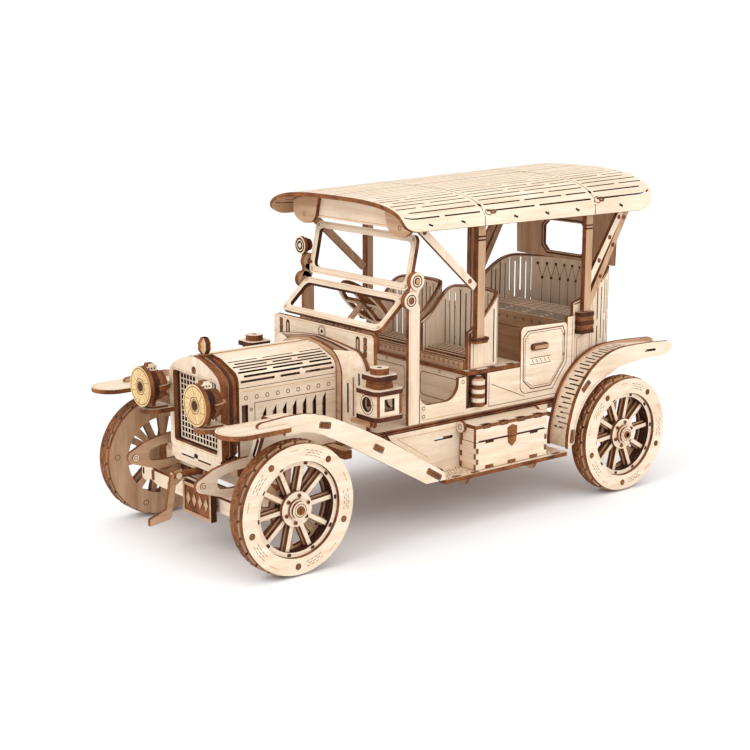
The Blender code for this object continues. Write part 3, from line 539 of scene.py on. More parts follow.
def knuckle(node):
    """A left knuckle: kingpin, barrel of plies, stub axle and steering arm."""
    low, high = corners(node)
    king = (47.0, FRONT_Y, 0.0)
    made = Piece()
    for i in range(6):
        z = 22.05 + 2.15 * i
        made.turned("Z", king, [(z, 2.8), (z + 2.0, 2.8)], 20, ["tan", "edge", "tan"])
    made.turned("Z", king, [(low[2], 1.2), (high[2], 1.2)], 16, "dark")
    made.turned("X", (0, FRONT_Y, AXLE_Z), [(47.0, 1.9), (high[0] - 0.1, 1.9)], 20, ["tan", "edge", "tan"])
    tip = (45.5, -91.0)
    made.plate("XY", arc(tip, 2.2, 0, 180, 10) + [(44.4, -102.0), (48.0, -102.0)], 22.5, 24.5)
    made.turned("Z", (*tip, 0), [(24.0, 1.0), (28.2, 1.0)], 14, ["tan", "edge", "tan"])
    return made


def tie_rod():
    made = Piece()
    y = -91.4
    outline = arc((45.5, y), 3.0, -100, 100, 12) + [(41.0, y + 1.7), (-41.0, y + 1.7)]
    outline += arc((-45.5, y), 3.0, 80, 280, 12) + [(-41.0, y - 1.7), (41.0, y - 1.7)]
    made.plate("XY", outline, 24.9, 26.9, [ring((45.5, y), 1.9, 20), ring((-45.5, y), 1.9, 20)],
               face="tan_x")
    # Its three slots are near-black plates laid on top: painted shadow.
    for x in (-20, 0, 20):
        made.plate("XY", capsule(x - 5, y, x + 5, y, 0.5), 26.88, 26.94, face="soot", edge="soot")
    made.make("tie_rod_look", "tie_rod")


def axle_beam():
    made = Piece()
    top = corners("front_axle_beam")[1][2]
    slot = box(-36, 24.6, 36, 29.6)
    made.plate("XZ", mirrored([(42.8, 19.7), (42.8, top), (38.0, top)]), -104.4, -102.9, [slot],
               face="face_x")
    made.plate("XZ", mirrored([(42.8, 19.7), (42.8, top), (38.0, top)]), -101.1, -99.6, [slot],
               face="face_x")
    for z in (20.4, 31.0, 35.4):
        made.plate("XY", box(-42.6, -102.8, 42.6, -101.2), z, z + 1.6, face="tan_x")
    for side in (-1, 1):
        for z in (19.7, 35.3):
            ear = arc((47.0, -102.0), 2.4, -90, 90, 10) + [(42.0, -99.6), (42.0, -104.4)]
            made.plate("XY", [(side * x, y) for x, y in ear], z, z + PLY,
                       [ring((side * 47.0, -102.0), 1.5, 16)],
                       face="face_x")
        arm = [(-115.5, 22.4), (-103, 22.4), (-103, 28.6), (-107, 28.6), (-110, 26.8), (-115.5, 28.6)]
        made.plate("YZ", arm, side * 34 - 1, side * 34 + 1, face="tan_y")
    front = mirrored([(30, 21.4), (36, 23.0), (41, 21.4), (44.0, 22.2), (44.0, 29.6), (36, 29.6),
                      (33, 27.6), (12, 27.6),
                      (9, 29.6)])
    holes = [box(side * 42.6 - 0.7, 24.0, side * 42.6 + 0.7, 27.2) for side in (-1, 1)]
    made.plate("XZ", front, -117.0, -115.0, holes, face="face_x", hole_edge="dark")
    for side in (-1, 1):
        made.tenon("XZ", (side * 34, 25.4), -117.0, 4.0, 1.8, 90, -0.12)
        made.rivet("XZ", (side * 20, 24.4), -117.0, 1.0, -PROUD)
    made.make("front_axle_beam_look", "front_axle_beam")


def chassis():
    """The ladder frame: side rails and cross members, dumb irons, outriggers and axle hangers."""
    made = Piece()
    top = 41.9
    holes = [box(-15, -102, 15, -60), box(-15, -46, 15, 24), box(-15, 34, 15, 106)]
    made.plate("XY", box(-22, -112.3, 22, 116), top - PLY, top, holes, face="tan_y")
    for side in (-1, 1):
        for x in (16, 21):
            made.plate("YZ", box(-112.0, 37.6, 116, top - PLY), side * x - 1, side * x + 1, face="tan_y")
        iron = [(-106, 31.0), (-112, 30.2), (-118, 29.9), (-123, 31.6)] + arc((-130.0, 37.2), 3.0, -110,
                                                                              -250, 10)
        iron += wave((-124.5, 43.2), (-106, 46.0), 8, 0.7, False)
        window = [(-107.5, 34.0), (-116, 33.8)] + arc((-119.6, 37.0), 3.0, 240, 120, 6) + [(-116, 41.0),
                                                                                           (-107.5, 41.6)]
        # Each dumb iron's outward face is the lit birch and its inward face painted shade.
        outer, inner = ("face", "tan_y") if side > 0 else ("tan_y", "face")
        made.plate("YZ", iron, side * 28.5 - 1, side * 28.5 + 1, [window], face=outer, back=inner)
        made.turned("X", (0, -129.6, 37.2), [(side * 28.5 - 1.9, 1.5), (side * 28.5 + 1.9, 1.5)], 16,
                    ["face", "edge", "face"])
        made.stroke("YZ", ring((-129.6, 37.2), 0.8, 12), side * 28.5 + 1.9, 0.25, "line", True)
        made.plate("XZ", box(side * 20, 38, side * 29, 41.5), -112, -107, face="tan_x")
        hanger = arc((REAR_Y, AXLE_Z), 6.0, 180, 360, 16) + [(108, 38.5), (85, 38.5)]
        made.plate("YZ", hanger, side * 20 - 1, side * 20 + 1, [ring((REAR_Y, AXLE_Z), 2.3, 20)])
    lug = mirrored([(0, 30), (20, 28), (40, 19.5), (51, 19.5), (53, 23.1), (40, 23.1), (22, 35),
                    (22, 38.5)])
    for y in (-1, 42):
        made.plate("XZ", lug, y - 1, y + 1, face="tan_x")
    made.plate("XY", box(-36, -60, 36, -56), 38.0, top, face="tan_x")
    made.plate("XZ", box(-5, 30.8, 3, 38.4), -111.8, -108.8, [ring((-1, 34.2), 1.9, 16)], face="tan_x")
    made.make("chassis_frame_look", "chassis_frame")


def rear_axle():
    made = Piece()
    low, high = corners("rear_axle")
    rod = (0, (low[1] + high[1]) / 2, (low[2] + high[2]) / 2)
    made.turned("X", rod, [(low[0], 1.1), (low[0] + 0.5, 1.2), (high[0] - 0.5, 1.2), (high[0], 1.1)], 20,
                ["tan", "edge", "tan_x", "edge", "tan"])
    made.make("rear_axle_look", "rear_axle")


def crank():
    """The starting handle: a Z of plywood whose foot turns forward."""
    made = Piece()
    x, z = -1.0, 34.2
    low, high = corners("starting_crank")
    made.turned("Y", (x, 0, z), [(-126.6, 1.6), (high[1], 1.6)], 16, ["tan", "edge", "tan"])
    arm = [(-121.8, z + 2.6), (-125.2, z + 2.4), (-127.4, z - 0.6), (-130.2, 19.6), (low[1], 16.8),
           (low[1], 13.8),
           (-129.0, 14.9), (-127.6, 16.4), (-125.2, z - 4.4), (-121.8, z - 2.2)]
    made.plate("YZ", arm, x - 1, x + 1, face="tan_y")
    made.turned("X", (0, -124.0, z), [(x - 2.0, 1.5), (x + 2.0, 1.5)], 14, ["tan", "edge", "face"])
    made.make("starting_crank_look", "starting_crank")


# ---------------------------------------------------------------- nose
def radiator():
    """Four plies round the grille, a notched apron, the filler cap on its collar."""
    made = Piece()
    low, high = corners("radiator_shell")
    front = low[1]

    def frame_outline(inset=0.0, foot=42.2):
        w, top = 21.0 - inset, 86.0 - inset
        shoulder = arc((w - 6.5, 74.5), 6.5, 0, 58, 8)
        crown = [(w - 6.5, 82.0 - inset * 0.6), (w - 11, 83.9 - inset * 0.8), (w - 16, 85.4 - inset),
                 (0, top)]
        return mirrored([(w - 1.5, foot + inset), (w, foot + 1.5 + inset)] + shoulder + crown)

    opening = rounded(-17.6, 45.4, 17.6, 77.6, 1.4, 4)
    made.plate("XZ", frame_outline(), front, front + 1.9, [opening], face="tan", back="face_z")
    for i, inset in enumerate((0.5, 0.0, 0.7)):
        y = front + 2.1 + 2.15 * i
        made.plate("XZ", frame_outline(inset, 43.6), y, y + 2.0, [opening], face="tan", edge="dark"
                   if i == 1 else "edge", hole_edge="dark")
    made.plate("XZ", mirrored([(17, 36.5), (20.2, 38.6), (20.2, 42.15)]), front, front + PLY,
               [box(-12, 39.6, -1.6, 40.3), box(1.6, 39.6, 12, 40.3)], face="face_x", hole_edge="soot")
    made.plate("XZ", [(-1.6, 40.3), (-1.6, 41.6), (-0.9, 42.3), (0.9, 42.3), (1.6, 41.6), (1.6, 40.3)],
               front - 0.02,
               front + 0.3, face="soot", edge="soot")
    made.turned("Y", (0, 0, 79.9), [(front - 0.02, 1.45), (front + 0.5, 1.45)], 20,
                ["edge", "soot", "soot"])
    made.stroke("XZ", ring((0, 79.9), 1.6, 20), front, 0.25, "soot", True, -PROUD)
    made.stroke("XZ", rounded(-18.3, 44.7, 18.3, 78.3, 2.0, 4), front, 0.2, "gold", True, -0.03)
    made.turned("Z", (0, -108.8, 0), [(84.1, 2.8), (86.4, 2.8), (86.4, 1.6), (87.2, 1.6)], 16,
                ["edge", "edge", "tan", "dark", "tan"])
    cap = [(1.3, 86.6), (2.0, 87.3), (2.9, 88.8), (2.5, 90.2), (2.85, 91.4), (2.0, 92.6), (1.2, 93.8)]
    made.plate("XZ", mirrored(cap), -110.0, -107.6, face="tan", back="face_z", edge="dark")
    made.plate("YZ", [(y - 108.8, z) for y, z in mirrored(cap)], -1.2, 1.2, face="lamp")
    for z in (89.2, 91.8):
        made.rivet("XZ", (0, z), -110.0, 0.7, -PROUD)
    made.make("radiator_shell_look", "radiator_shell")

    grille = Piece()
    low, high = corners("radiator_grille")
    columns, rows = 13, 12
    wide, tall = (high[0] - low[0] - 1.4) / columns, (high[2] - low[2] - 1.2) / rows
    slots = []
    for i in range(columns):
        for j in range(rows):
            u, v = low[0] + 0.7 + wide * i, low[2] + 0.6 + tall * j
            middle = u + wide / 2
            if abs(middle) < 2.6 and j == rows - 1:
                continue
            slots.append(box(u + 0.35, v + 0.25, u + wide - 0.35, v + tall - 0.25))
    grille.plate("XZ", box(low[0], low[2], high[0], high[2]), low[1], high[1], slots, face="tan",
                 back="face_z",
                 edge="edge", hole_edge="dark")
    grille.make("radiator_grille_look", "radiator_grille")


def headlamp():
    """A left headlamp: an engraved face ply, a stack behind it, a strap, a finial and its bracket."""
    made = Piece()
    x, z = 22.6, 70.5
    front = corners("headlamp_left")[0][1]
    made.turned("Y", (x, 0, z), [(front, 9.0), (front + 2.1, 9.0)], 40, ["lamp", "edge", "tan"])
    for radius, y in ((7.4, front + 2.3), (7.0, front + 4.4), (6.9, front + 6.5), (6.0, front + 8.6)):
        made.turned("Y", (x, 0, z), [(y, radius), (y + 1.9, radius)], 32,
                    ["tan", "dark" if y < -123 else "edge", "tan"])
    made.turned("Y", (x, 0, z), [(front + 2.0, 6.6), (front + 10.4, 5.6)], 24, "dark")
    for radius, width in ((8.1, 0.3), (3.6, 0.35), (2.6, 0.3)):
        made.stroke("XZ", ring((x, z), radius, 40), front, width, "line", True, -0.04)
    made.turned("Y", (x, 0, z), [(front - 0.05, 2.2), (front + 0.2, 2.2)], 20, ["dark", "dark", "dark"])
    for i in range(6):
        a = 60 * i + 8
        petal = [circle_point((x, z), r, a + d) for r, d in ((3.9, 0), (6.0, 13), (7.8, 4), (7.8, -4),
                                                             (6.0, -11), (3.9, 0))]
        made.stroke("XZ", petal, front, 0.24, "gold", True, -0.03)
        made.stroke("XZ", [circle_point((x, z), 4.6, a + 22), circle_point((x, z), 7.6, a + 33)], front,
                    0.24, "line",
                    False, -0.03)
    strap = arc((x, -123.6), 8.9, 0, 180, 24) + arc((x, -123.6), 7.6, 180, 0, 24)
    made.plate("XY", strap, 69.5, 71.5, face="tan_y")
    made.plate("YZ", [(-126.4, 77.2), (-120.8, 77.2), (-120.8, 79.4), (-121.8, 79.4), (-122.2, 80.6),
                      (-125.0, 80.6),
                      (-125.4, 79.4), (-126.4, 79.4)], x - 1.9, x + 1.9)
    for y in (-125.0, -123.6, -122.2):
        for side in (-1, 1):
            made.turned("X", (0, y, 78.4), [(x + side * 1.9, 0.42), (x + side * 1.96, 0.42)][::side], 8,
                        "soot")
    made.plate("XZ", [(x - 3, 60.4), (x + 3, 60.4), (x + 2.2, 62.4), (x + 3.4, 64.0), (x - 3.4, 64.0),
                      (x - 2.2, 62.4)],
               -124.4, -122.4, face="face_x")
    made.plate("XY", arc((x, -122.2), 6.2, 180, 360, 16) + [(x + 6.2, -114.9), (x - 6.2, -114.9)], 58.6,
               60.6,
               face="face")
    made.plate("XY", arc((x, -122.0), 4.2, 180, 360, 12) + [(x + 4.2, -117), (x - 4.2, -117)], 60.6, 61.5,
               face="face_x")
    both("headlamp", made)


def number_plate():
    """The plate's place, with a plain ornament in place of lettering."""
    made = Piece()
    low, high = corners("number_plate")
    made.plate("XZ", box(low[0], low[2], high[0], high[2]), low[1] + 0.4, low[1] + 2.9, face="edge",
               edge="dark")
    rim = [box(low[0] + 1.4, low[2] + 1.4, high[0] - 1.4, high[2] - 1.4)]
    made.plate("XZ", box(low[0], low[2], high[0], high[2]), low[1], low[1] + 0.6, rim, face="tan_x",
               edge="dark")
    middle = (low[2] + high[2]) / 2
    for i in range(4):
        u = low[0] + 4.4 + 4.75 * i
        made.plate("XZ", [(u - 1.7, middle), (u, middle - 3.0), (u + 1.7, middle), (u, middle + 3.0)],
                   low[1] + 0.1,
                   low[1] + 0.6, face="tan_x", edge="dark")
    made.plate("XZ", box(6, 22.4, 16, 28.6), -119.4, -117.3, face="tan_x")
    made.make("number_plate_look", "number_plate")


def fender_stay():
    made = Piece()
    outline = [(22.3, 38.0), (26.6, 38.0), (37.0, 59.4), (32.2, 59.4)]
    slot = capsule(29.0, 46.0, 32.6, 53.4, 0.8)
    made.plate("XZ", outline, -103.7, -101.7, [slot], face="face_z", hole_edge="dark")
    both("fender_stay", made)


def hood():
    """Hood tops bent over the shoulders with living-hinge slots, louvred and riveted sides."""
    low, high = corners("hood_top_left")
    y0, y1 = low[1], high[1]
    path = [(0.3, 86.0), (8, 85.1), (14, 82.8)] + arc((15.5, 76), 6.0, 60, 0, 10)[1:] + [(21.5, 74.3)]
    shape, reach = follow(path, lambda y, x, z: (max(x, 0.3), y, z))
    total = reach[-1]
    length = y1 - y0
    slots = []
    rows = 7
    for k in range(rows):
        s = total - 2.6 - 2.15 * k
        wide = 0.5 if k < rows - 1 else 0.3
        if k % 2 == 0:
            parts = ((0.0, 0.36), (0.42, 0.62), (0.68, 1.0)) if k % 4 == 0 else ((0.0, 0.31), (0.37, 0.68),
                                                                                 (0.75, 1.0))
        else:
            parts = ((0.06, 0.97),)
        for a, b in parts:
            slots.append((y0 + length * a + (0.0 if a > 0 else 1.0),
                          y0 + length * b - (0.0 if b < 1 else 1.0), s - wide, s + wide))
    made = Piece()
    made.sheet(shape, [y0, y0 + 1.0, y1 - 1.0, y1], reach, slots, hole_edge="soot")
    mark = made.mark()
    made.stroke("XY", [(0.75, y0 + 0.2), (0.75, y1 - 0.2)], 86.0, 0.6, "gold")
    made.stroke("XY", [(0.75, y1 - 3), (3.4, y1 - 0.4)], 85.75, 0.3)
    made.move(mark, Matrix.Translation((0, 0, -0.05)))
    both("hood_top", made)

    low, high = corners("hood_side_left")
    side = Piece()
    face = high[0]
    louvres = []
    for i in range(7):
        y = -93.6 + 5.35 * i
        rise = 0.75 * i
        louvres.append([(y, 55.4), (y + 2.0, 55.4), (y + 2.0, 64.4 + rise * 0.45), (y, 61.2 + rise * 0.45)])
    vent = box(low[1] + 1.2, 57.0, low[1] + 4.4, 66.6)
    side.plate("YZ", box(low[1], low[2], high[1], high[2]), low[0], face, louvres + [vent], back="tan",
               hole_edge="dark")
    for i in range(9):
        side.rivet("YZ", (-102.0 + 5.5 * i, 69.6), face, 0.85)
    side.rivet("YZ", (-99.4, 64.2), face, 0.6)
    side.stroke("YZ", [(-105.0, 72.6), (-53.6, 72.6)], face, 0.2, "gold")
    side.stroke("YZ", [(-97.6, 46), (-97.6, 66.9), (-54.6, 66.9)], face, 0.3)
    both("hood_side", side)


def firewall():
    """The flared cowl: hoops of growing size, the widest with upright slots."""
    made = Piece()

    def arch(half, top, foot=42.2):
        return mirrored([(half - 0.6, foot), (half, top - 16)] + arc((half - 12, top - 14), 12.0, 6, 66, 8)
                        + [(half * 0.35, top - 1.0), (0, top)])

    hole = [box(-17, 47.6, 17, 76)]
    made.plate("XZ", arch(24.8, 87.0), -53.4, -51.6, hole, face="tan_x")
    us = [0, 0.25, 0.5, 0.75, 1.0]
    for side in (1, -1):
        path = [(24.8, 42.2), (24.8, 71.0)] + arc((12.8, 73.0), 12.0, 6, 66, 8)
        far = [(36.2, 42.2), (36.2, 71.4)] + arc((24.2, 73.4), 12.0, 6, 66, 8)
        spans = len(path) - 1

        def shape(u, v, depth, path=path, far=far, side=side):
            k = min(int(v), len(path) - 2)
            t = v - k
            near = Vector(path[k]) * (1 - t) + Vector(path[k + 1]) * t
            out = Vector(far[k]) * (1 - t) + Vector(far[k + 1]) * t
            spot = near * (1 - u) + out * u
            y = -52.6 + 4.4 * u
            return (side * (spot.x - depth * 0.5), y + depth * 0.8, spot.y - depth * 0.3)

        slots = [(0.2, 0.27, 0.5, 0.97), (0.44, 0.51, 0.45, 1.6), (0.68, 0.75, 0.4, 2.4)]
        made.sheet(shape, us, range(spans + 1), slots, thickness=1.6, edge="dark", hole_edge="soot")
    made.plate("XZ", arch(36.6, 87.4), -48.0, -46.0, hole, face="face_x")
    made.plate("XZ", arch(31.0, 87.2), -50.2, -48.2, hole, face="tan_x", edge="dark")
    made.make("firewall_look", "firewall")


def dashboard():
    """The dash panel with oval slots laid on as dark plates of painted shade, each with a painted-shade
    pill inside, tab ends and a plain round emblem; the instrument board behind.
    """
    made = Piece()
    face = corners("dashboard")[0][1]
    made.plate("XZ", rounded(-38.4, 50.0, 38.4, 92.4, 2.0, 3), face, face + PLY, [box(-28, 54, 28, 78)],
               face="face_x")
    for side in (-1, 1):
        oval = capsule(side * 27.0, 84.4, side * 27.0, 89.2, 1.5)
        made.plate("XZ", oval, face - 0.04, face + 0.3, face="dark", edge="soot")
        centre = (sum(p[0] for p in oval) / len(oval), sum(p[1] for p in oval) / len(oval))
        made.plate("XZ", capsule(centre[0], centre[1] - 1.9, centre[0], centre[1] + 1.9, 0.65), face - 0.12,
                   face, face="tan",
                   edge="edge")
        for z in (83.4, 86.4, 89.4):
            made.tenon("XZ", (side * 32.4, z), face, 2.2, 1.9, 90, -0.12)
    for radius in (2.8, 2.1):
        made.stroke("XZ", ring((0, 88.9), radius, 24), face, 0.28, "line", True, -0.04)
    made.turned("Y", (0, 0, 88.9), [(face - 0.06, 0.9), (face + 0.2, 0.9)], 16, "dark")
    for z in (79.6, 91.6):
        made.stroke("XZ", [(-37.4, z), (37.4, z)], face, 0.22, "gold", False, -0.03)
    board = rounded(-30, 79.6, 30, 93.4, 6.0, 6)
    made.plate("XZ", board, -37.4, -35.4, face="face_x")
    made.plate("XZ", box(-24, 80.0, 24, 86.0), face + PLY, -37.4, face="tan_x")
    for y, proud in ((-37.4, -0.04), (-35.4, PROUD)):
        for x in (-17, -9, 0, 9, 17):
            made.stroke("XZ", ring((x, 88.6), 3.0, 20), y, 0.3, "line", True, proud)
            made.stroke("XZ", [(x, 88.6), (x + 1.6, 90.4)], y, 0.3, "line", False, proud)
        made.stroke("XZ", rounded(-28.8, 80.6, 28.8, 92.4, 5.0, 6), y, 0.25, "line", True, proud)
    made.make("dashboard_look", "dashboard")


def lantern():
    """A left carriage lantern: pale glazed walls between stacked roofs, whose recessed plies are painted
    shade, on its bracket.
    """
    made = Piece()
    x, y = 48.6, -50.4

    def square(half, cut):
        return chamfered(x - half, y - half, x + half, y + half, cut)

    for low_z, high_z, half, cut, look in ((58.4, 60.5, 8.2, 2.2, "face"), (69.9, 71.9, 8.2, 2.2, "face"),
                                           (72.0, 73.8, 5.0, 1.6, "tan"), (73.9, 75.6, 4.7, 1.5, "tan"),
                                           (75.7, 78.0, 6.3, 1.8, "face")):
        made.plate("XY", square(half, cut), low_z, high_z, face=look, edge="dark" if look == "face"
                   else "edge")
    made.turned("Z", (x, y, 0), [(78.1, 4.2), (80.8, 4.2), (80.8, 1.2), (80.5, 1.2)], 24,
                ["tan", "edge", "face", "soot", "dark"])
    for side in (-1, 1):
        port = ring((x, 65.2), 3.4, 28)
        made.plate("XZ", box(x - 7.0, 60.6, x + 7.0, 69.8), *sorted((y + side * 7.0, y + side * 5.4)),
                   [port], face="face_x",
                   back="face_x", hole_edge="dark")
        pane = box(y - 2.8, 62.4, y + 2.8, 68.0)
        made.plate("YZ", box(y - 5.3, 60.6, y + 5.3, 69.8), *sorted((x + side * 7.0, x + side * 5.4)),
                   [pane],
                   back="face", hole_edge="dark")
        made.stroke("XZ", ring((x, 65.2), 4.3, 28), y - 7.0 if side < 0 else y + 7.0, 0.3, "line", True,
                    side * 0.035)
    made.turned("Z", (x, y, 0), [(60.6, 1.6), (66.2, 1.6), (67.8, 0.4)], 14, ["tan", "tan", "face", "face"])
    made.plate("XZ", [(37.0, 55.2), (x + 2, 55.2), (x + 2, 58.3), (41.0, 58.3), (37.0, 57.0)], y - 7.0,
               y - 5.0,
               face="tan_x")
    both("side_lantern", made)


# ---------------------------------------------------------------- fenders and boards
def front_fender():
    """A left front fender: a bent sheet between two side plates, and a round-ended tip plate."""
    made = Piece()
    upper = [(-17.9, 28.9), (-36.0, 40.2), (-46.0, 46.3), (-55.8, 51.9), (-66.0, 57.2), (-77.4, 62.6),
             (-82.0, 64.7),
             (-86.0, 66.2), (-91.0, 67.5), (-97.0, 68.4), (-105.0, 68.4), (-113.0, 67.8)]
    nose = [(-117.0, 67.6), (-118.4, 67.1), (-119.0, 66.2), (-118.7, 65.5)]
    lower = [(-105.8, 65.5), (-105.4, 60.4), (-96.0, 60.6), (-91.0, 59.6), (-86.4, 57.8), (-76.0, 52.5),
             (-67.0, 47.4),
             (-29.0, 25.7), (-17.9, 25.7)]
    made.plate("YZ", upper + nose + lower, FENDER_X - PLY, FENDER_X, back="tan")
    for spot, degrees, length in (((-85.2, 61.8), -12, 5.5), ((-56.4, 46.8), -29, 5.5),
                                  ((-24.6, 29.4), -32, 9.0)):
        made.tenon("YZ", spot, FENDER_X, length, 2.2, degrees, FLUSH)
    path = [(-105.0, 65.6), (-97.0, 65.6), (-92.5, 64.9), (-88.0, 63.4), (-77.4, 58.9), (-66.0, 53.2),
            (-56.4, 48.0),
            (-17.9, 27.6)]
    inner = [(y, z - 0.5) for y, z in path] + [(y, z - 5.0) for y, z in reversed(path)]
    made.plate("YZ", inner, 37.3, 39.3, face="tan_y", back="tan_y")
    shape, reach = follow(path, lambda x, y, z: (x, y, z))
    slots = [(41.2 + 1.6 * (i % 2), 51.2 + 1.6 * (i % 2), 11.0 + 2.6 * i, 11.7 + 2.6 * i) for i in range(7)]
    made.sheet(shape, [39.3, 53.7], reach, slots, hole_edge="soot")
    tip_x, tip_r = 52.2, 9.3
    tip = arc((tip_x, -126.5), tip_r, 180, 360, 28)
    rear = [(tip_x + tip_r, -107.5), (tip_x + tip_r - 0.8, -106.0), (53.6, -106.0), (53.6, -104.2),
            (tip_x - tip_r, -104.2)]
    made.plate("XY", tip + rear, 63.4, 65.4, back="tan_y")
    inset = arc((tip_x, -126.5), tip_r - 1.0, 180, 360, 28)
    made.stroke("XY", inset + [(60.5, -108.0)], 65.4, 0.25, "gold")
    made.stroke("XY", [(tip_x - tip_r + 1.0, -106.6), inset[0]], 65.4, 0.25, "gold")
    both("front_fender", made)


def rear_fender():
    """A left rear fender: a living-hinge sheet bent round the wheel, and a tail plate."""
    made = Piece()
    y0, z0 = REAR_Y, AXLE_Z

    def point(degrees, radius):
        return circle_point((y0, z0), radius, degrees)

    steps = [(184, 35.9), (170, 36.0), (158, 36.3), (146, 37.6), (134, 39.0), (122, 40.4), (110, 41.6),
             (98, 42.6), (86, 43.4)]

    def radius_at(a):
        for (a0, r0), (a1, r1) in zip(steps, steps[1:]):
            if a1 <= a <= a0:
                return r0 + (r1 - r0) * (a0 - a) / (a0 - a1)
        return steps[-1][1]

    fine = [184 - 4.9 * i for i in range(21)]
    upper = [point(a, radius_at(a)) for a in fine] + [(107.0, 72.4), (116.0, 72.2), (131.0, 71.4)]
    nose = [(132.8, 70.6), (133.6, 69.2), (133.2, 67.2), (132.0, 66.0), (127.0, 64.4)]
    lower = [(112.0, 64.6)] + [point(a, 31.6 + max(0, 108 - a) * 0.12) for a in range(90, 185, 5)]
    slots = [capsule(114.0, 68.4, 121.0, 68.2, 0.6)]
    made.plate("YZ", upper + nose + lower, FENDER_X - PLY, FENDER_X, slots, back="tan", hole_edge="dark")
    made.plate("YZ", upper + nose + lower, 41.3, 43.3, face="tan_y")
    for a, degrees in ((174, 84), (132, 42)):
        made.tenon("YZ", point(a, radius_at(a) - 2.6), FENDER_X, 6.0, 2.2, degrees, FLUSH)
    made.stroke("YZ", [point(a, 32.8) for a in range(100, 181, 5)], FENDER_X, 0.22, "gold")
    path = [point(a, radius_at(a) - 1.0) for a in fine] + [(107.0, 71.4), (116.0, 70.6), (127.0, 69.8)]
    shape, reach = follow(path, lambda x, y, z: (x, y, z))
    slots = []
    count = 26
    for i in range(count):
        s = 9.0 + (reach[-1] - 30.0) * i / count
        start = 46.6 if i % 2 else 44.6
        slots.append((start, start + 6.4, s, s + 0.75))
    made.sheet(shape, [43.3, 53.7], reach, slots, hole_edge="soot")
    tail = arc((47.6, 131.8), 6.7, 0, 180, 20) + [(41.3, 124.0), (54.3, 124.0)]
    made.plate("XY", tail, 66.0, 68.0, back="tan_y")
    made.stroke("XY", arc((47.6, 131.8), 5.6, 0, 180, 20), 68.0, 0.25, "gold")
    both("rear_fender", made)


def running_board():
    """A left running board with its checker plate, lugs and the valance behind it."""
    made = Piece()
    top = BOARD_Z
    made.plate("XY", box(41.6, -17.6, FENDER_X, 60.0), top - PLY, top, back="tan_y")
    valance = [(-17.6, 24.0), (60.0, 24.0), (60.0, 46.7), (-40.0, 46.7), (-38.0, 43.8), (-17.6, 31.0)]
    slots = [capsule(-12.0, 40.4, -2.0, 40.4, 0.7), capsule(50.5, 40.4, 57.0, 40.4, 0.7)]
    made.plate("YZ", valance, 39.6, 41.6, slots, back="tan_y", hole_edge="dark")
    made.stroke("YZ", [(-15.8, 32.4), (-34.6, 44.4), (58.4, 44.4)], 41.6, 0.24, "gold")
    for start, end in ((-16.4, 1.2), (49.4, 58.6)):
        step = 1.9
        rows = int((end - start) / step)
        for i in range(rows + 1):
            y = start + step * i
            for k in range(6):
                x = 43.6 + 1.9 * k + (0.95 if i % 2 else 0)
                if x > 54.2:
                    continue
                lean = 0.62 if (i + k) % 2 else -0.62
                made.stroke("XY", [(x - 0.62, y - lean), (x + 0.62, y + lean)], top, 0.3)
        made.stroke("XY", [(42.6, start - 0.7), (54.9, start - 0.7), (54.9, end + 0.7), (42.6, end + 0.7)],
                    top, 0.22, "gold",
                    True)
    for y in (-10.0, 1.4, 54.0):
        made.tenon("XY", (54.2, y), top, 4.0, 1.3, 90, 0.1)
    for y in (-14, 52):
        made.plate("XY", box(41.6, y, 44.6, y + 4.0), top, top + 1.6, face="tan_y")
    both("running_board", made)


def fingers(start, end, low, high, count, depth):
    """A corner outline with square fingers between two heights."""
    points = []
    step = (high - low) / count
    for i in range(count):
        offset = depth if i % 2 else 0.0
        points += [(start + offset, low + step * i), (start + offset, low + step * (i + 1))]
    right = []
    for i in range(count):
        offset = depth if i % 2 else 0.0
        right += [(end - offset, low + step * i), (end - offset, low + step * (i + 1))]
    return points[::-1] + right


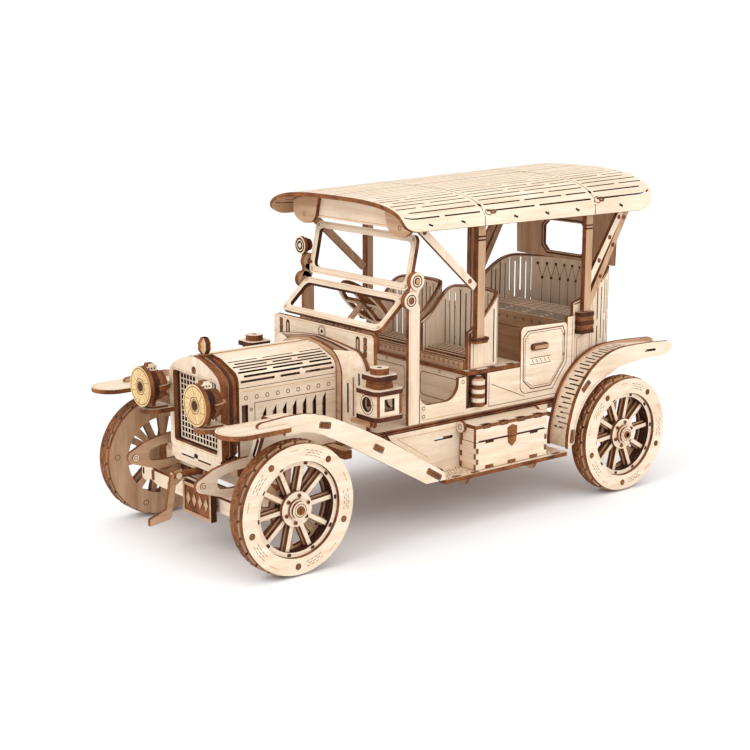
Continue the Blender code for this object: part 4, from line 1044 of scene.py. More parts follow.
def toolbox():
    """A left toolbox with finger joints, engraved panels and a shield on its lid."""
    made = Piece()
    low, high = 25.7, 38.6
    x0, x1, y0, y1 = 42.4, 53.5, 2.5, 48.0
    middle = (y0 + y1) / 2
    made.plate("XY", box(x0 + 0.2, y0 + 0.2, x1 - 0.2, y1 - 0.2), low, 27.4, face="tan_y")
    for x in (x0, x1 - 1.6):
        made.plate("YZ", fingers(y0, y1, low, high, 5, 1.6), x, x + 1.6)
    for y in (y0, y1 - 1.6):
        made.plate("XZ", box(x0 + 1.6, low, x1 - 1.6, high), y, y + 1.6, face="face_x", back="face_x")
        for i in (1, 3):
            step = (high - low) / 5
            made.plate("XZ", box(x0, low + step * i + 0.05, x1, low + step * (i + 1) - 0.05), y + 0.02,
                       y + 1.58, face="face_x",
                       edge="edge")
    for y in (11.0, 25.2, 39.4):
        made.plate("YZ", box(y - 2.6, low, y + 2.6, low + 1.6), x1 - 0.6, x1 + 0.02, face="edge",
                   edge="soot")
        made.plate("YZ", box(y - 2.6, high - 0.9, y + 2.6, high), x1 - 0.6, x1 + 0.02, face="dark",
                   edge="soot")
    shield = [(middle - 3.0, 38.6), (middle + 3.0, 38.6), (middle + 2.6, 35.8), (middle, 33.6),
              (middle - 2.6, 35.8)]
    made.plate("YZ", shield, x1 - 0.4, x1 + 0.03, face="edge", edge="dark")
    both("toolbox", made)

    lid = Piece()
    low, high = 38.9, 46.8
    lid.plate("XY", box(42.9, y0, x1, y1), high - 1.7, high, back="tan_y")
    lid.plate("YZ", box(y0, low, y1, high - 1.7), x1 - 1.6, x1, back="tan_y")
    lid.plate("YZ", box(y0, low, y1, high - 1.7), 42.9, 44.5, face="tan_y")
    for y in (y0, y1 - 1.6):
        lid.plate("XZ", box(44.5, low, x1 - 1.6, high - 1.7), y, y + 1.6, face="face_x", back="face_x")
    for i in range(4):
        y = y0 + 6.0 + 11.0 * i
        lid.tenon("XY", (x1 - 0.8, y), high, 4.4, 1.5, 90, FLUSH)
        lid.tenon("YZ", (y + 0.6, high - 0.9), x1, 4.4, 1.5, 0, FLUSH)
    lid.plate("YZ", box(y0 + 1.7, low, y1 - 1.7, low + 0.6), x1 - 0.5, x1 + 0.02, face="dark", edge="soot")
    shield = [(middle - 3.0, 38.9), (middle + 3.0, 38.9), (middle + 3.2, 43.2), (middle, 44.4),
              (middle - 3.2, 43.2)]
    lid.plate("YZ", shield, x1 - 0.4, x1 + 0.03, face="edge", edge="dark")
    for y in (0.6, 48.0):
        lid.turned("Y", (44.5, 0, 45.0), [(y, 2.6), (y + 1.9, 2.6)], 24, ["face_x", "edge", "face_x"])
        for side, level in ((-1, y), (1, y + 1.9)):
            lid.stroke("XZ", ring((44.5, 45.0), 1.2, 14), level, 0.35, "line", True, 0.03 * side)
    lid.turned("Y", (44.5, 0, 45.0), [(2.4, 1.0), (48.1, 1.0)], 12, "edge")
    both("toolbox_lid", lid)


def canister():
    """A small upright tank of stacked plies with a domed cap."""
    made = Piece()
    low, high = corners("canister")
    x, y = 40.8, 14.9
    for i in range(6):
        z = low[2] + 2.1 * i
        made.turned("Z", (x, y, 0), [(z, 3.15), (z + 1.95, 3.15)], 24,
                    ["face", "face_z" if i % 2 else "edge", "face"])
    cap = [(low[2] + 0.2, 2.9), (64.8, 2.9), (65.6, 2.3), (high[2], 1.4)]
    made.turned("Z", (x, y, 0), cap, 24, ["tan", "dark", "tan", "edge", "face"])
    made.make("canister_look", "canister")


# ---------------------------------------------------------------- body
def floor_board():
    made = Piece()
    outline = [(-41.2, -46.0), (41.2, -46.0), (41.2, 66.0), (38.0, 76.0), (38.0, 100.0), (26.0, 118.0),
               (-26.0, 118.0),
               (-38.0, 100.0), (-38.0, 76.0), (-41.2, 66.0)]
    made.plate("XY", outline, 47.0, 49.0, back="tan_y")
    for i in range(9):
        x = -32 + 8 * i
        made.stroke("XY", [(x, -42), (x, 6)], 49.0, 0.22, "gold")
        made.stroke("XY", [(x, 42), (x, 77)], 49.0, 0.22, "gold")
    # A near-black line along each side edge of the board: painted shadow.
    for side in (-1, 1):
        made.stroke("YZ", [(-44, 48.0), (64, 48.0)], side * 41.2, 0.5, "soot", False, 0.02 * side)
    for side in (-1, 1):
        made.plate("YZ", box(-37.0, 48.0, -31.0, 71.8), -17.0 + side * 2.6 - 1.2, -17.0 + side * 2.6 + 1.2,
                   face="tan_y")
    made.plate("YZ", box(-36.4, 48.0, -31.6, 71.0), -18.4, -15.6, face="tan_y")
    for y in (-36, 28, 100):
        made.plate("XZ", box(-30, 42.2, 30, 48), y - 1.5, y + 1.5, [capsule(-20, 45, -8, 45, 1.0),
                                                                    capsule(8, 45, 20, 45, 1.0)],
                   face="tan_x")
    made.make("floor_board_look", "floor_board")


def body_side():
    """A left side panel with its engraved sill, and an open front doorway."""
    made = Piece()
    base, shelf = BASE_Z, 67.2
    outline = [(-20.8, base), (78.0, base), (78.0, 88.0), (73.2, 88.0), (73.2, 66.0), (63.8, 53.6),
               (47.0, 53.6)]
    outline += arc((46.0, 58.0), 4.4, 260, 190, 8) + [(41.6, shelf), (20.5, shelf), (20.5, 52.0),
                                                      (7.2, 52.0), (7.2, shelf), (2.6, shelf)]
    outline += arc((-5.4, 65.2), 8.0, 0, -90, 14) + arc((-15.6, 62.4), 5.2, 270, 180, 10)
    made.plate("YZ", outline, SIDE_X - PLY, SIDE_X, back="tan_y")
    made.stroke("YZ", [(-19.6, 59.4), (-19.6, 50.6), (6.0, 50.6)], SIDE_X, 0.24, "gold")
    made.stroke("YZ", [(21.6, 66.0), (21.6, 50.9), (76.6, 50.9), (76.6, 86.6)], SIDE_X)
    for y, z in ((-18.6, 52.2), (5.2, 65.0), (-18.6, 56.0)):
        made.rivet("YZ", (y, z), 41.0, 0.8)
    made.stroke("YZ", [(23.4, 61.4), (45.0, 52.4)], SIDE_X, 0.3)
    both("body_side", made)


def rear_door():
    """A left rear door: chamfered double border, brown grip, and plain lines in place of a number."""
    made = Piece()
    outline = [(47.2, 54.0), (63.6, 54.0), (72.8, 66.2), (72.8, 83.8)] + arc((70.8, 83.6), 2.0, 10, 90, 6)
    outline += arc((44.4, 84.0), 2.4, 90, 180, 8) + arc((46.4, 58.2), 4.4, 190, 260, 8)
    made.plate("YZ", outline, SIDE_X - PLY, SIDE_X)
    for inset, width, look in ((1.6, 0.55, "line"), (2.7, 0.25, "line")):
        border = [(48.2 + inset * 0.6, 54.0 + inset), (63.0 - inset * 0.5, 54.0 + inset),
                  (72.8 - inset, 66.8), (72.8 - inset, 82.6 - inset),
                  (71.6 - inset, 85.6 - inset), (44.9 + inset, 85.6 - inset), (42.0 + inset, 83.0 - inset),
                  (42.2 + inset, 60.0)]
        made.stroke("YZ", border, 41.0, width, look, True)
        made.stroke("YZ", border, 39.0, width, look, True, -PROUD)
    made.plate("YZ", rounded(48.4, 74.4, 59.0, 77.6, 1.2, 4), 41.0, 42.4, face="edge", edge="dark")
    made.plate("YZ", rounded(49.2, 75.1, 58.2, 76.9, 0.8, 4), 42.4, 43.0, face="tan_y", edge="dark")
    made.stroke("YZ", [(48.2, 70.6), (62.0, 70.6)], SIDE_X, 0.3)
    made.stroke("YZ", [(48.2, 67.4), (62.0, 67.4)], SIDE_X, 0.3)
    for i in range(5):
        made.stroke("YZ", [(49.4 + 2.7 * i, 69.9), (50.6 + 2.7 * i, 68.1)], SIDE_X)
    for i in range(4):
        made.stroke("YZ", [(44.8, 81.6 - 1.2 * i), (47.4, 81.6 - 1.2 * i)], SIDE_X, 0.2, "gold")
    for z in (70.0, 80.0):
        made.rivet("YZ", (71.0, z), 41.0, 0.55)
    both("rear_door", made)


def tub(half, depth, y_front, y_turn, z0, z_arm, z_back, y_rise, centre=0.0, count=44):
    """The bent wall of a seat: (along, height where the wall is tallest, depth inwards) to a point."""
    full = z_back - z0
    path = [(half, y_front), (half, (y_front + y_turn) / 2)]
    path += [(half * math.cos(math.pi * i / count), y_turn + depth * math.sin(math.pi * i / count))
             for i in range(count + 1)]
    path += [(-half, (y_front + y_turn) / 2), (-half, y_front)]

    def top(y):
        t = min(max((y - y_front) / (y_rise - y_front), 0), 1)
        return z_arm + (z_back - z_arm) * t * t * (3 - 2 * t)

    flat, reach = follow(path, lambda u, x, y: (x, y, u), inward=-1)

    def shape(s, v, inwards):
        outer_y = flat(0.0, s, 0.0)[1]
        x, y = flat(0.0, s, inwards)[:2]
        return (centre + x, y, z0 + (top(outer_y) - z0) * v / full)

    return shape, reach, full


OUTSIDE, INSIDE = (-0.03, 0.15), (PLY + 0.03, -0.15)  # a line on a seat's wall: its level and its depth


def hinge_slots(start, end, step, width, long_run, short_runs):
    """Alternating rows of long and split slots, which let a sheet bend."""
    slots = []
    count = int((end - start) / step)
    for i in range(count + 1):
        s = start + (end - start) * i / count
        for low, high in (long_run if i % 2 else short_runs):
            slots.append((s - width / 2, s + width / 2, low, high))
    return slots


def front_seat():
    """A left bucket seat: a bent wrap with slots round its back, a slatted cushion, a riveted apron."""
    made = Piece()
    middle, z0 = 20.1, 69.8
    shape, reach, full = tub(18.3, 10.5, 10.5, 26.0, z0, 87.0, 104.0, 33.0, middle)
    total = reach[-1]
    slots = hinge_slots(16.0, total - 16.0, 3.1, 0.7, [(0.1 * full, 0.93 * full)],
                        [(0.05 * full, 0.88 * full)])
    made.sheet(shape, reach, [0.0, full], slots, face="face_z", back="face_z", hole_edge="soot")
    for side in (OUTSIDE, INSIDE):
        for s in (0.9, total - 0.9):
            made.trace(shape, [(s, 0.3), (s, full - 0.3)], 1.5, "edge", *side)
        for s in (3.2, total - 3.2):
            made.trace(shape, [(s, 0.06 * full), (s, 0.94 * full)], 0.3, "line", *side)
        rail = [(0.5 + (total - 1.0) * i / 60, full - 0.7) for i in range(61)]
        made.trace(shape, rail, 0.9, "edge", *side)
    for i in range(7):
        y = 10.8 + 2.3 * i
        top = 75.2 - (1.4, 0.5, 0.1, 0, 0, 0, 0)[i]
        made.plate("XY", box(middle - 16.0, y, middle + 16.0, y + 1.35), 72.4, top, face="face_x")
    # A near-black sheet under the slats: painted shadow in the gaps between them.
    made.plate("XY", box(middle - 15.6, 10.9, middle + 15.6, 26.2), 72.3, 73.2, face="soot")
    made.plate("XZ", box(middle - 17, z0, middle + 17, 74.0), 8.4, 10.4, face="tan_x", back="tan_x")
    for i in range(9):
        made.rivet("XZ", (middle - 14 + 3.5 * i, 71.9), 8.4, 0.6, -PROUD)
    made.stroke("XZ", [(middle - 16.4, 73.3), (middle + 16.4, 73.3)], 8.4, 0.3, "line", False, -0.03)
    both("front_seat", made)


def front_seat_shelf():
    made = Piece()
    made.plate("XY", box(-40.9, 8.0, 40.9, 42.0), 67.5, 69.5, face="face_x", back="tan_x")
    for y in (9.0, 38.6):
        holes = [rounded(-34, 52.5, -6, 64, 2.0, 3), rounded(6, 52.5, 34, 64, 2.0, 3)]
        made.plate("XZ", box(-38.4, BASE_Z, 38.4, 67.5), y, y + 2.0, face="face_x", back="face_x")
        for hole in holes:
            for level, proud in ((y, -PROUD), (y + 2.0, PROUD)):
                made.stroke("XZ", hole, level, 0.35, "line", True, proud)
        for x in (-37, -20, 0, 20, 37):
            made.rivet("XZ", (x, 66.0), y, 0.6, -PROUD)
    for side in (-1, 1):
        for y in (12.0, 24.0, 36.0):
            made.tenon("XY", (side * 39.8, y), 69.5, 4.0, 1.6, 90, FLUSH)
    made.make("front_seat_shelf_look", "front_seat_shelf")


def rear_tub():
    """The rounded tail: slotted outside, tufted inside, with stacked arm blocks."""
    made = Piece()
    z0 = BASE_Z
    shape, reach, full = tub(39.6, 27.5, 78.3, 95.0, z0, 94.0, 108.4, 110.0)
    total = reach[-1]
    long_run = [(0.08 * full, 0.4 * full), (0.46 * full, 0.93 * full)]
    short_runs = [(0.03 * full, 0.22 * full), (0.28 * full, 0.6 * full), (0.66 * full, 0.97 * full)]
    slots = hinge_slots(17.0, 41.0, 3.0, 0.7, long_run, short_runs)
    slots += hinge_slots(total - 41.0, total - 17.0, 3.0, 0.7, long_run, short_runs)
    made.sheet(shape, reach, [0.0, full], slots, face="face_z", back="face_z", hole_edge="soot")
    for i in range(9):
        pitch = (total - 90.0) / 9
        a, high, low = 45.0 + pitch * i, 0.92 * full, 0.79 * full
        for points in ([(a, high), (a + pitch / 2, low), (a + pitch, high)],
                       [(a + pitch / 2, low), (a + pitch / 2, 0.5 * full)]):
            made.trace(shape, points, 0.3, "line", *INSIDE)
        for along, z in ((a + pitch, high), (a + pitch / 2, low)):
            made.trace(shape, [(along - 0.8, z), (along + 0.8, z)], 1.4, "line", *INSIDE)
    rail = [(0.5 + (total - 1.0) * i / 80, full - 0.7) for i in range(81)]
    for side in (INSIDE, OUTSIDE):
        made.trace(shape, rail, 0.9, "edge", *side)
    for s0, s1 in ((0.6, 13.4), (total - 13.4, total - 0.6)):
        made.trace(shape, [(s0 + 0.8, 0.02 * full), (s0 + 0.8, 0.97 * full)], 0.24, "gold")
        made.trace(shape, [(s1, 0.02 * full), (s1, 0.95 * full)], 0.24, "gold")
        panel = [(s0 + 2.4, 0.08 * full), (s1 - 1.6, 0.08 * full), (s1 - 1.6, 0.6 * full),
                 (s0 + 2.4, 0.6 * full),
                 (s0 + 2.4, 0.08 * full)]
        made.trace(shape, panel, 0.3)
    for side in (-1, 1):
        low, high = sorted((side * 39.7, side * 44.3))
        for i in range(5):
            z = 79.05 + 2.16 * i
            made.plate("XY", rounded(low, 79.1 + 0.35 * (i % 2), high, 88.9 - 0.35 * (i % 2), 1.2, 4), z,
                       z + 2.0, face="tan_y",
                       edge="edge" if i % 2 else "dark")
        # A near-black block inside the stacked arm plies: painted shadow in the gaps between them.
        made.plate("XY", box(low + 0.5, 79.8, high - 0.5, 88.2), 79.2, 89.6, face="soot", edge="soot")
        made.stroke("XY", rounded(low + 0.8, 80.2, high - 0.8, 88.0, 0.8, 4), 89.69, 0.24, "line", True)
    made.make("rear_tub_look", "rear_tub")


def rear_seat():
    """The rear cushion with squares in perspective and rows of its slots as near-black painted shadow, on
    its box.
    """
    made = Piece()
    lean = math.degrees(math.atan2(1.8, 25.4))
    made.plate("YZ", [(80.6, 80.0), (106.0, 82.0), (106.0, 85.4), (80.6, 83.6)], -33.0, 33.0, face="tan_y",
               edge="face")
    base = made.mark()
    for i in range(11):
        x = -30 + 6 * i
        made.stroke("XY", [(x, 91.4), (x * 0.92, 105.2)], 83.6, 0.3)
    for y in (91.4, 95.0, 99.0, 103.2):
        made.stroke("XY", [(-31.8, y), (31.8, y)], 83.6, 0.3)
    # Rows of near-black strokes: the cushion's slots as painted shadow.
    for i in range(6):
        y = 82.0 + 1.6 * i
        for start, end in ((-31.0, -2.0), (2.0, 31.0)) if i % 2 else ((-31.0, -16.0), (-13.0, 13.0),
                                                                      (16.0, 31.0)):
            made.stroke("XY", [(start, y), (end, y)], 83.6, 0.7, "soot")
    made.turn(base, lean, "X", (0, 80.6, 83.6))
    made.plate("XZ", box(-37.0, BASE_Z, 37.0, 83.5), 80.0, 82.0, face="tan_x", back="tan_x")
    made.stroke("XZ", rounded(-34.0, 54.0, 34.0, 76.0, 2.0, 4), 80.0, 0.3, "line", True, -0.03)
    for i in range(12):
        made.rivet("XZ", (-33 + 6 * i, 80.6), 80.0, 0.55, -PROUD)
    made.stroke("XZ", [(-36.2, 78.8), (36.2, 78.8)], 80.0, 0.24, "gold", False, -0.03)
    made.make("rear_seat_look", "rear_seat")


# ---------------------------------------------------------------- windshield and steering
def windshield_post():
    made = Piece()
    shank = [(-27.5, BASE_Z), (-21.3, BASE_Z), (-21.3, 103.0), (-22.3, 105.6), (-27.5, 105.6)]
    made.plate("YZ", shank, SIDE_X - PLY, SIDE_X, face="face_z", back="tan")
    made.plate("YZ", [(-28.6, 107.0), (-23.6, 104.4), (-20.6, 113.0), (-26.0, 114.0)], SIDE_X - PLY, SIDE_X,
               face="face_z", back="tan")
    for pivot in (LOWER_PIVOT, UPPER_PIVOT):
        made.plate("YZ", ring(pivot, 4.0, 32), SIDE_X - PLY, SIDE_X + 0.8, [ring(pivot, 1.7, 18)],
                   face="face_z", back="tan",
                   hole_edge="dark")
        made.stroke("YZ", ring(pivot, 2.5, 24), 41.8, 0.5, "line", True)
    made.turned("X", (0, *LOWER_PIVOT), [(39.1, 1.6), (41.5, 1.6)], 16, ["tan", "edge", "edge"])
    made.stroke("YZ", [(-26.7, 50.4), (-26.7, 102.0)], SIDE_X, 0.22, "gold")
    both("windshield_post", made)


def glazing(name, pivot, low, high, lean, pins):
    """An open frame in three plies, leaning about its pivot."""
    made = Piece()
    y, z = pivot
    half, width = 37.7, 3.4
    inner = [rounded(-half + width, z + low + width, half - width, z + high - width, 2.4, 6)]
    made.plate("XZ", rounded(-half, z + low, half, z + high, 3.5, 8), y - 1.0, y + 1.0, inner,
               face="face_x", back="face_x",
               edge="edge", hole_edge="dark")
    for level, proud in ((y - 1.0, -PROUD), (y + 1.0, PROUD)):
        made.stroke("XZ", rounded(-half + 0.9, z + low + 0.9, half - 0.9, z + high - 0.9, 2.8, 6), level,
                    0.2, "gold", True, proud)
        for side in (-1, 1):
            for spot in ((side * (half - 2.1), z + low + 2.1), (side * (half - 2.1), z + high - 2.1)):
                made.rivet("XZ", spot, level, 0.6, proud)
    made.turn(0, lean, "X", (0, y, z))
    if pins:
        for side in (-1, 1):
            made.turned("X", (0, y, z), [(side * 36.0, 1.3), (side * 42.3, 1.3)][::side], 16,
                        ["edge", "edge", "tan"])
    made.make(name + "_look", name)


def spotlight():
    """The small stepped lamp on the right-hand stanchion."""
    made = Piece()
    x, z = -44.6, 122.4
    made.turned("Y", (x, 0, z), [(-25.6, 4.4), (-23.9, 4.4)], 32, ["face_z", "edge", "tan"])
    made.turned("Y", (x, 0, z), [(-23.8, 3.6), (-22.0, 3.6)], 28, ["tan", "dark", "tan"])
    made.turned("Y", (x, 0, z), [(-24.0, 2.9), (-20.0, 2.9)], 24, ["tan", "edge", "tan"])
    for radius, width in ((3.2, 0.8), (1.7, 0.9)):
        made.stroke("XZ", ring((x, z), radius, 28), -25.6, width, "line", True, -0.04)
    made.plate("YZ", box(-23.8, 110.8, -21.8, 119.6), x - 1, x + 1, face="face_z")
    made.plate("XY", box(x - 1, -23.8, -42.1, -21.8), 110.8, 112.6, face="tan_x")
    made.make("spotlight_look", "spotlight")


def steering_wheel():
    """The rim with four spokes and a stepped hub on its column."""
    made = Piece()
    x, y, z = -17.0, -8.0, 96.0
    made.plate("XZ", ring((x, z), 14.7, 48), y - 1, y + 1, [ring((x, z), 12.4, 40)], face="face_x",
               back="face_x")
    for i in range(4):
        a = 90 * i
        spoke = [circle_point((x, z), r, a + d) for r, d in ((2.6, -24), (13.0, -4.6), (13.0, 4.6),
                                                             (2.6, 24))]
        made.plate("XZ", spoke, y - 0.9, y + 0.9, face="face_x", back="face_x")
    for radius, near, far in ((3.4, -2.0, -1.0), (3.4, 1.0, 2.2)):
        made.turned("Y", (x, 0, z), [(y + near, radius), (y + far, radius)], 20, ["tan_x", "edge", "tan_x"])
    made.turned("Y", (x, 0, z), [(y - 1.2, 2.6), (y + 1.2, 2.6)], 16, "edge")
    made.stroke("XZ", ring((x, z), 2.2, 16), y + 2.2, 0.3, "line", True)
    made.stroke("XZ", ring((x, z), 13.5, 40), y + 1.0, 0.25, "line", True)
    made.turned("Y", (x, 0, z), [(y - 34.0, 1.5), (y - 1.0, 1.5)], 14, ["edge", "tan_x", "edge"])
    made.turn(0, 41.0, "X", (x, y, z))
    made.make("steering_wheel_look", "steering_wheel")


# ---------------------------------------------------------------- roof
def roof_height(x, y):
    rise = 12.5 + 6.0 * (y - ROOF_Y0) / (ROOF_Y1 - ROOF_Y0)
    return EAVE_Z + rise * (1 - min(abs(x) / EAVE_X, 1) ** 3) ** (1 / 3)


def roof_shape():
    """The roof's surface: (y, distance along the arch from the left eave, depth) to a point."""
    count = 120
    table = [0.0]
    spots = []
    for i in range(count + 1):
        a = math.pi * i / count
        x = EAVE_X * math.copysign(abs(math.cos(a)) ** (2 / 3), math.cos(a))
        spots.append((x, roof_height(x, 40.0)))
        if i:
            table.append(table[-1] + math.dist(spots[-1], spots[-2]))
    total = table[-1]

    def angle(s):
        s = min(max(s, 0.0), total)
        for i in range(count):
            if s <= table[i + 1]:
                return math.pi * (i + (s - table[i]) / (table[i + 1] - table[i])) / count
        return math.pi

    def shape(y, s, depth):
        from_end = min(y - ROOF_Y0, ROOF_Y1 - y)
        lift = 7.0 * (1 - math.sqrt(max(0.0, 1 - (1 - min(max(from_end, 0) / 8, 1)) ** 2)))
        side = min(s, total - s)
        if side < 14:
            raised = lift + (14 - lift) * side / 14
            s = raised if s < total / 2 else total - raised
        a = angle(s)
        x = EAVE_X * math.copysign(abs(math.cos(a)) ** (2 / 3), math.cos(a))
        slope = abs(x) / EAVE_X
        share = depth / PLY
        z = roof_height(x, y) - depth * (1 - 0.75 * slope ** 12)
        return (x * (1 - 0.038 * share * slope ** 6), y, z)

    return shape, total


def roof():
    """The bent roof: living-hinge slots down to the eaves, planked crown, gilt seams and eave hooks."""
    made = Piece()
    shape, total = roof_shape()
    runs = (((-37.5, -18.0), (-15.0, 6.0), (10.0, 40.0), (43.0, 77.0), (81.0, 118.5)),
            ((-33.0, 5.5), (10.5, 33.0), (36.0, 60.0), (63.0, 76.5), (81.5, 114.0)),
            ((-37.5, -26.0), (-23.0, 5.5), (10.5, 52.0), (55.0, 77.0), (81.0, 100.0), (103.0, 118.5)))
    slots = []
    rows, pitch = 8, 4.0
    for k in range(rows):
        s = 7.0 + pitch * k
        wide = 0.4 if k < 6 else 0.3
        for start, end in runs[k % 3]:
            slots.append((start, end, s - wide, s + wide))
            slots.append((start, end, total - s - wide, total - s + wide))
    us = [ROOF_Y0, ROOF_Y0 + 0.7, ROOF_Y0 + 2, ROOF_Y0 + 4.5, ROOF_Y0 + 8, -10, 20, 50, 80, 105,
          ROOF_Y1 - 8, ROOF_Y1 - 4.5,
          ROOF_Y1 - 2, ROOF_Y1 - 0.7, ROOF_Y1]
    vs = [total * i / 72 for i in range(73)] + [14.0, total - 14.0]
    made.sheet(shape, us, vs, slots, back="tan_y", hole_edge="soot")
    plank = 7.0 + pitch * rows
    while plank < total - 7.0 - pitch * rows + 0.1:
        for start, end in ((-38.0, 7.6), (8.6, 78.6), (79.6, 119.0)):
            made.trace(shape, [(start, plank), ((start + end) / 2, plank), (end, plank)], 0.26)
        plank += pitch
    # The near-black marks here and at the eaves below are painted shadow.
    for y in (8.1, 79.1):
        across = [(y, total * i / 60) for i in range(61)]
        made.trace(shape, across, 0.45)
        for s in (11.0, total - 11.0):
            made.trace(shape, [(y - 0.9, s), (y + 0.9, s)], 1.7, "soot")
    for y in (11.0, 81.4):
        for s in (6.4, total - 6.4):
            ringed = [(y + 1.9 * math.cos(math.radians(20 * i)), s + 1.5 * math.sin(math.radians(20 * i)))
                      for i in range(19)]
            made.trace(shape, ringed, 0.4)
            hook = [(y + 2.6 + 1.5 * math.cos(math.radians(30 * i)),
                     s + 0.7 * math.sin(math.radians(30 * i))) for i in range(13)]
            made.trace(shape, hook, 0.9, "edge", -0.25)
    for y in (-24, -5, 27, 47, 67, 97):
        for s in (2.9, total - 2.9):
            lean = 0.5 if s < total / 2 else -0.5
            made.trace(shape, [(y - 1.2, s + lean), (y + 1.2, s - lean)], 1.0, "soot")
    for i in range(23):
        s = total * (i + 0.5) / 23
        if 12 < s < total - 12:
            made.trace(shape, [(-38.4, s), (40.0, s), (119.4, s)], 0.24, "gold", PLY + 0.03, -0.15)
    made.make("roof_look", "roof")


def roof_bow():
    """The board under the roof's front, with a rounded bracket at each end."""
    made = Piece()
    top = [(x, roof_height(x, -26) - 2.7) for x in (30, 25, 20, 15, 10, 5, 0)]
    made.plate("XZ", mirrored([(30, 137.6)] + top), -27.0, -25.0, face="tan_x", back="face_x")
    made.stroke("XZ", [(-29.2, 138.6), (29.2, 138.6)], -27.0, 0.24, "gold", False, -PROUD)
    for side in (-1, 1):
        under = [(x, roof_height(x, -28) - 2.9) for x in (24.5, 27, 30, 33, 36, 39, 42, 45)]
        lobe = [(44.6, 139.0), (43.4, 137.4), (42.0, 136.4), (40.4, 135.5), (38.6, 134.9), (36.2, 134.4),
                (34.0, 134.4),
                (31.8, 134.8), (30.0, 135.4), (28.4, 136.6), (27.0, 138.4)]
        made.plate("XZ", [(side * u, v) for u, v in under + lobe], -29.0, -27.05, face="tan_x",
                   back="tan_x")
        made.rivet("XZ", (side * 36.0, 138.6), -29.0, 1.0, -PROUD)
    made.make("roof_bow_look", "roof_bow")


def bar(made, start, end, width, x0, x1, **looks):
    """A flat bar between two points of the car's side view."""
    a, b = Vector(start), Vector(end)
    along = (b - a).normalized()
    side = Vector((-along.y, along.x)) * width / 2
    made.plate("YZ", [tuple(a - side), tuple(b - side), tuple(b + side), tuple(a + side)], x0, x1, **looks)


def joint_mark(made, spot, level, radius=1.15):
    """A dowel end in a bar's face."""
    made.turned("X", (0, *spot), [(level - 0.3, radius), (level + 0.12, radius)], 14,
                ["soot", "soot", "edge"])


def front_roof_post():
    made = Piece()
    # The posts are painted shade, as they stand under the roof.
    made.plate("YZ", box(11.8, 85.0, 16.2, 138.4), 41.0, 43.0, face="tan", back="tan")
    made.plate("YZ", box(12.2, 85.3, 15.8, 138.0), 39.4, 40.9, face="tan", back="tan")
    for z in (130.2, 131.8):
        made.plate("YZ", box(11.8, z, 16.2, z + 0.8), 42.6, 43.02, face="dark", edge="soot")
    bar(made, (11.0, 109.0), (-24.0, 140.2), 3.6, RAIL_X - PLY, RAIL_X, face="face_z", back="tan")
    for t in (0.1, 0.88):
        joint_mark(made, (11.0 - 35.0 * t, 109.0 + 31.2 * t), 42.2)
    made.plate("XY", rounded(39.2, 9.6, 44.4, 18.6, 1.0, 3), 83.9, 85.2, face="edge", edge="dark")
    made.plate("XY", rounded(39.5, 10.0, 44.0, 18.2, 1.0, 3), 82.6, 83.8, face="edge")
    made.plate("YZ", box(-24.6, 139.2, 84.0, 142.2), RAIL_X - PLY, RAIL_X, face="tan_y", back="tan_y")
    for i in range(6):
        made.tenon("YZ", (-14 + 18 * i, 140.7), 42.2, 4.0, 1.2, 0, FLUSH)
    both("front_roof_post", made)


def rear_roof_frame():
    made = Piece()
    # The post and the lower brace are painted shade, under the roof.
    made.plate("YZ", box(82.2, 90.1, 86.6, 138.4), 41.3, 43.0, face="tan", back="tan")
    made.plate("YZ", box(82.6, 90.4, 86.2, 138.0), 40.0, 41.2, face="tan", back="tan")
    for z in (130.2, 131.8):
        made.plate("YZ", box(82.2, z, 86.6, z + 0.8), 42.6, 43.02, face="dark", edge="soot")
    bar(made, (86.0, 104.0), (108.0, 138.0), 3.4, RAIL_X - PLY, RAIL_X, face="face_z", back="tan")
    bar(made, (86.0, 92.4), (112.0, 138.8), 3.4, RAIL_X - PLY, RAIL_X, face="tan", back="tan")
    for t in (0.3, 0.62, 0.9):
        joint_mark(made, (86.0 + 22.0 * t, 104.0 + 34.0 * t), 42.2)
        joint_mark(made, (86.0 + 26.0 * t, 92.4 + 46.4 * t), 42.2)
    made.plate("YZ", box(84.6, 138.0, 114.0, 142.2), RAIL_X - PLY, RAIL_X, face="tan_y", back="tan_y")
    both("rear_roof_frame", made)


def roof_back_panel():
    """The panel behind the rear seat, with a thick eight-sided window frame and planked engraving."""
    made = Piece()
    y = 112.0
    top = [(x, roof_height(x, y) - 2.8) for x in (36, 33, 30, 25, 20, 15, 10, 5, 0)]
    window = chamfered(-15, 112, 15, 128, 3.2)
    # The panel's front takes the painted shade under the roof.
    made.plate("XZ", mirrored([(35, 108.9)] + top), y - 1.0, y + 0.4, [window], face="tan", back="tan",
               hole_edge="dark")
    made.plate("XZ", mirrored([(34.4, 109.4)] + [(x * 0.985, z - 0.5) for x, z in top]), y + 0.5, y + 1.0,
               [window],
               face="face_z", back="tan", hole_edge="dark")
    for level, proud in ((y - 1.0, -0.05), (y + 1.0, 0.05)):
        made.stroke("XZ", chamfered(-16.1, 110.9, 16.1, 129.1, 3.8), level, 0.9, "line", True, proud)
        for i in range(9):
            x = -32 + 8 * i
            if abs(x) > 17:
                made.stroke("XZ", [(x, 110.4), (x, 148.0)], level, 0.22, "gold", False, proud)
        made.stroke("XZ", [(-12, 132.4), (12, 132.4)], level, 0.22, "gold", False, proud)
    made.make("roof_back_panel_look", "roof_back_panel")


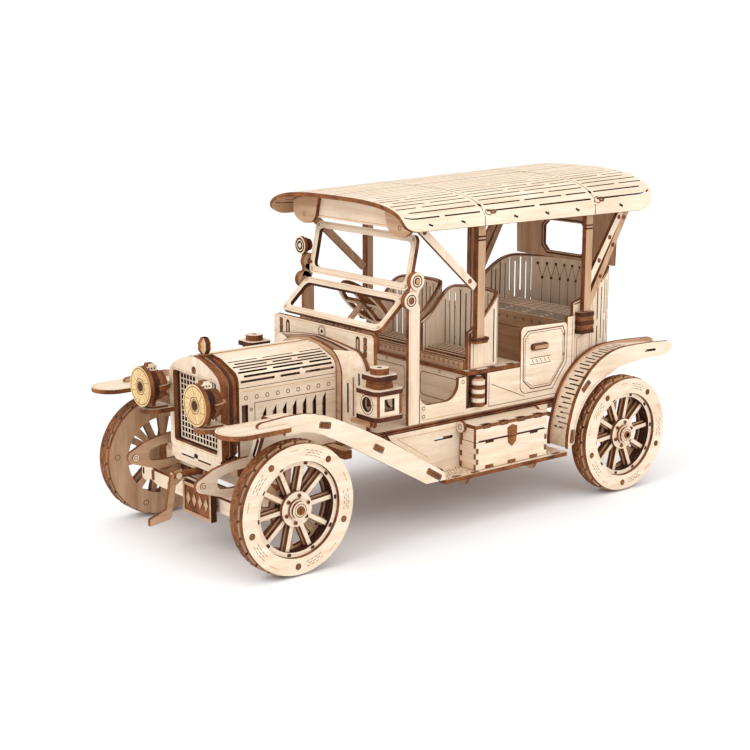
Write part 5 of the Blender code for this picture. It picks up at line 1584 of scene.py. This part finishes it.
# ---------------------------------------------------------------- the whole car
for stem in ("front_wheel", "rear_wheel"):
    both(stem, wheel(stem + "_left"))
both("steering_knuckle", knuckle("steering_knuckle_left"))
tie_rod()
axle_beam()
chassis()
rear_axle()
crank()
radiator()
headlamp()
number_plate()
fender_stay()
hood()
firewall()
dashboard()
lantern()
front_fender()
rear_fender()
running_board()
toolbox()
canister()
floor_board()
body_side()
rear_door()
front_seat()
front_seat_shelf()
rear_tub()
rear_seat()
windshield_post()
glazing("windshield_upper", UPPER_PIVOT, -5.2, 20.2, -12.0, True)
glazing("windshield_lower", LOWER_PIVOT, -20.0, 1.4, -48.0, False)
spotlight()
steering_wheel()
roof()
roof_bow()
front_roof_post()
rear_roof_frame()
roof_back_panel()


# ---------------------------------------------------------------- floor, light and camera
def floor():
    mesh = bpy.data.meshes.new("floor")
    reach = 6.0
    mesh.from_pydata([(-reach, -reach, 0), (reach, -reach, 0), (reach, reach, 0), (-reach, reach, 0)], [],
                     [(0, 1, 2, 3)])
    pale, _, shader = surface("pale_floor", 0.9, 0.1)
    shader.inputs["Base Color"].default_value = (0.95, 0.95, 0.95, 1.0)
    mesh.materials.append(pale)
    ground = bpy.data.objects.new("floor", mesh)
    bpy.context.scene.collection.objects.link(ground)


def area_light(name, spot, target, size, power):
    data = bpy.data.lights.new(name, "AREA")
    data.energy = power
    data.shape = "DISK"
    data.size = size
    lamp = bpy.data.objects.new(name, data)
    lamp.location = spot
    lamp.rotation_euler = (Vector(target) - Vector(spot)).to_track_quat("-Z", "Y").to_euler()
    bpy.context.scene.collection.objects.link(lamp)


def studio():
    world = bpy.data.worlds.new("studio")
    world.use_nodes = True
    shade = world.node_tree.nodes["Background"]
    shade.inputs["Color"].default_value = (1.0, 1.0, 1.0, 1.0)
    shade.inputs["Strength"].default_value = 1.1
    bpy.context.scene.world = world
    middle = (0.0, 0.0, 0.06)
    area_light("key", (0.10, -0.85, 0.75), middle, 0.6, 3.0)
    area_light("side", (0.95, 0.10, 0.55), middle, 0.8, 2.5)
    bpy.context.scene.view_settings.view_transform = "Standard"


def camera():
    azimuth, elevation, distance = math.radians(51.56), math.radians(12.49), 713.31
    target = Vector((-1.04, -13.5, 63.68))
    out = Vector((math.sin(azimuth) * math.cos(elevation), -math.cos(azimuth) * math.cos(elevation),
                  math.sin(elevation)))
    data = bpy.data.cameras.new("camera")
    data.lens = 71.74
    data.sensor_width = 36.0
    data.clip_start = 0.01
    eye = bpy.data.objects.new("camera", data)
    eye.location = (target + out * distance) * MM
    eye.rotation_euler = (-out).to_track_quat("-Z", "Y").to_euler()
    bpy.context.scene.collection.objects.link(eye)
    bpy.context.scene.camera = eye


floor()
studio()
camera()
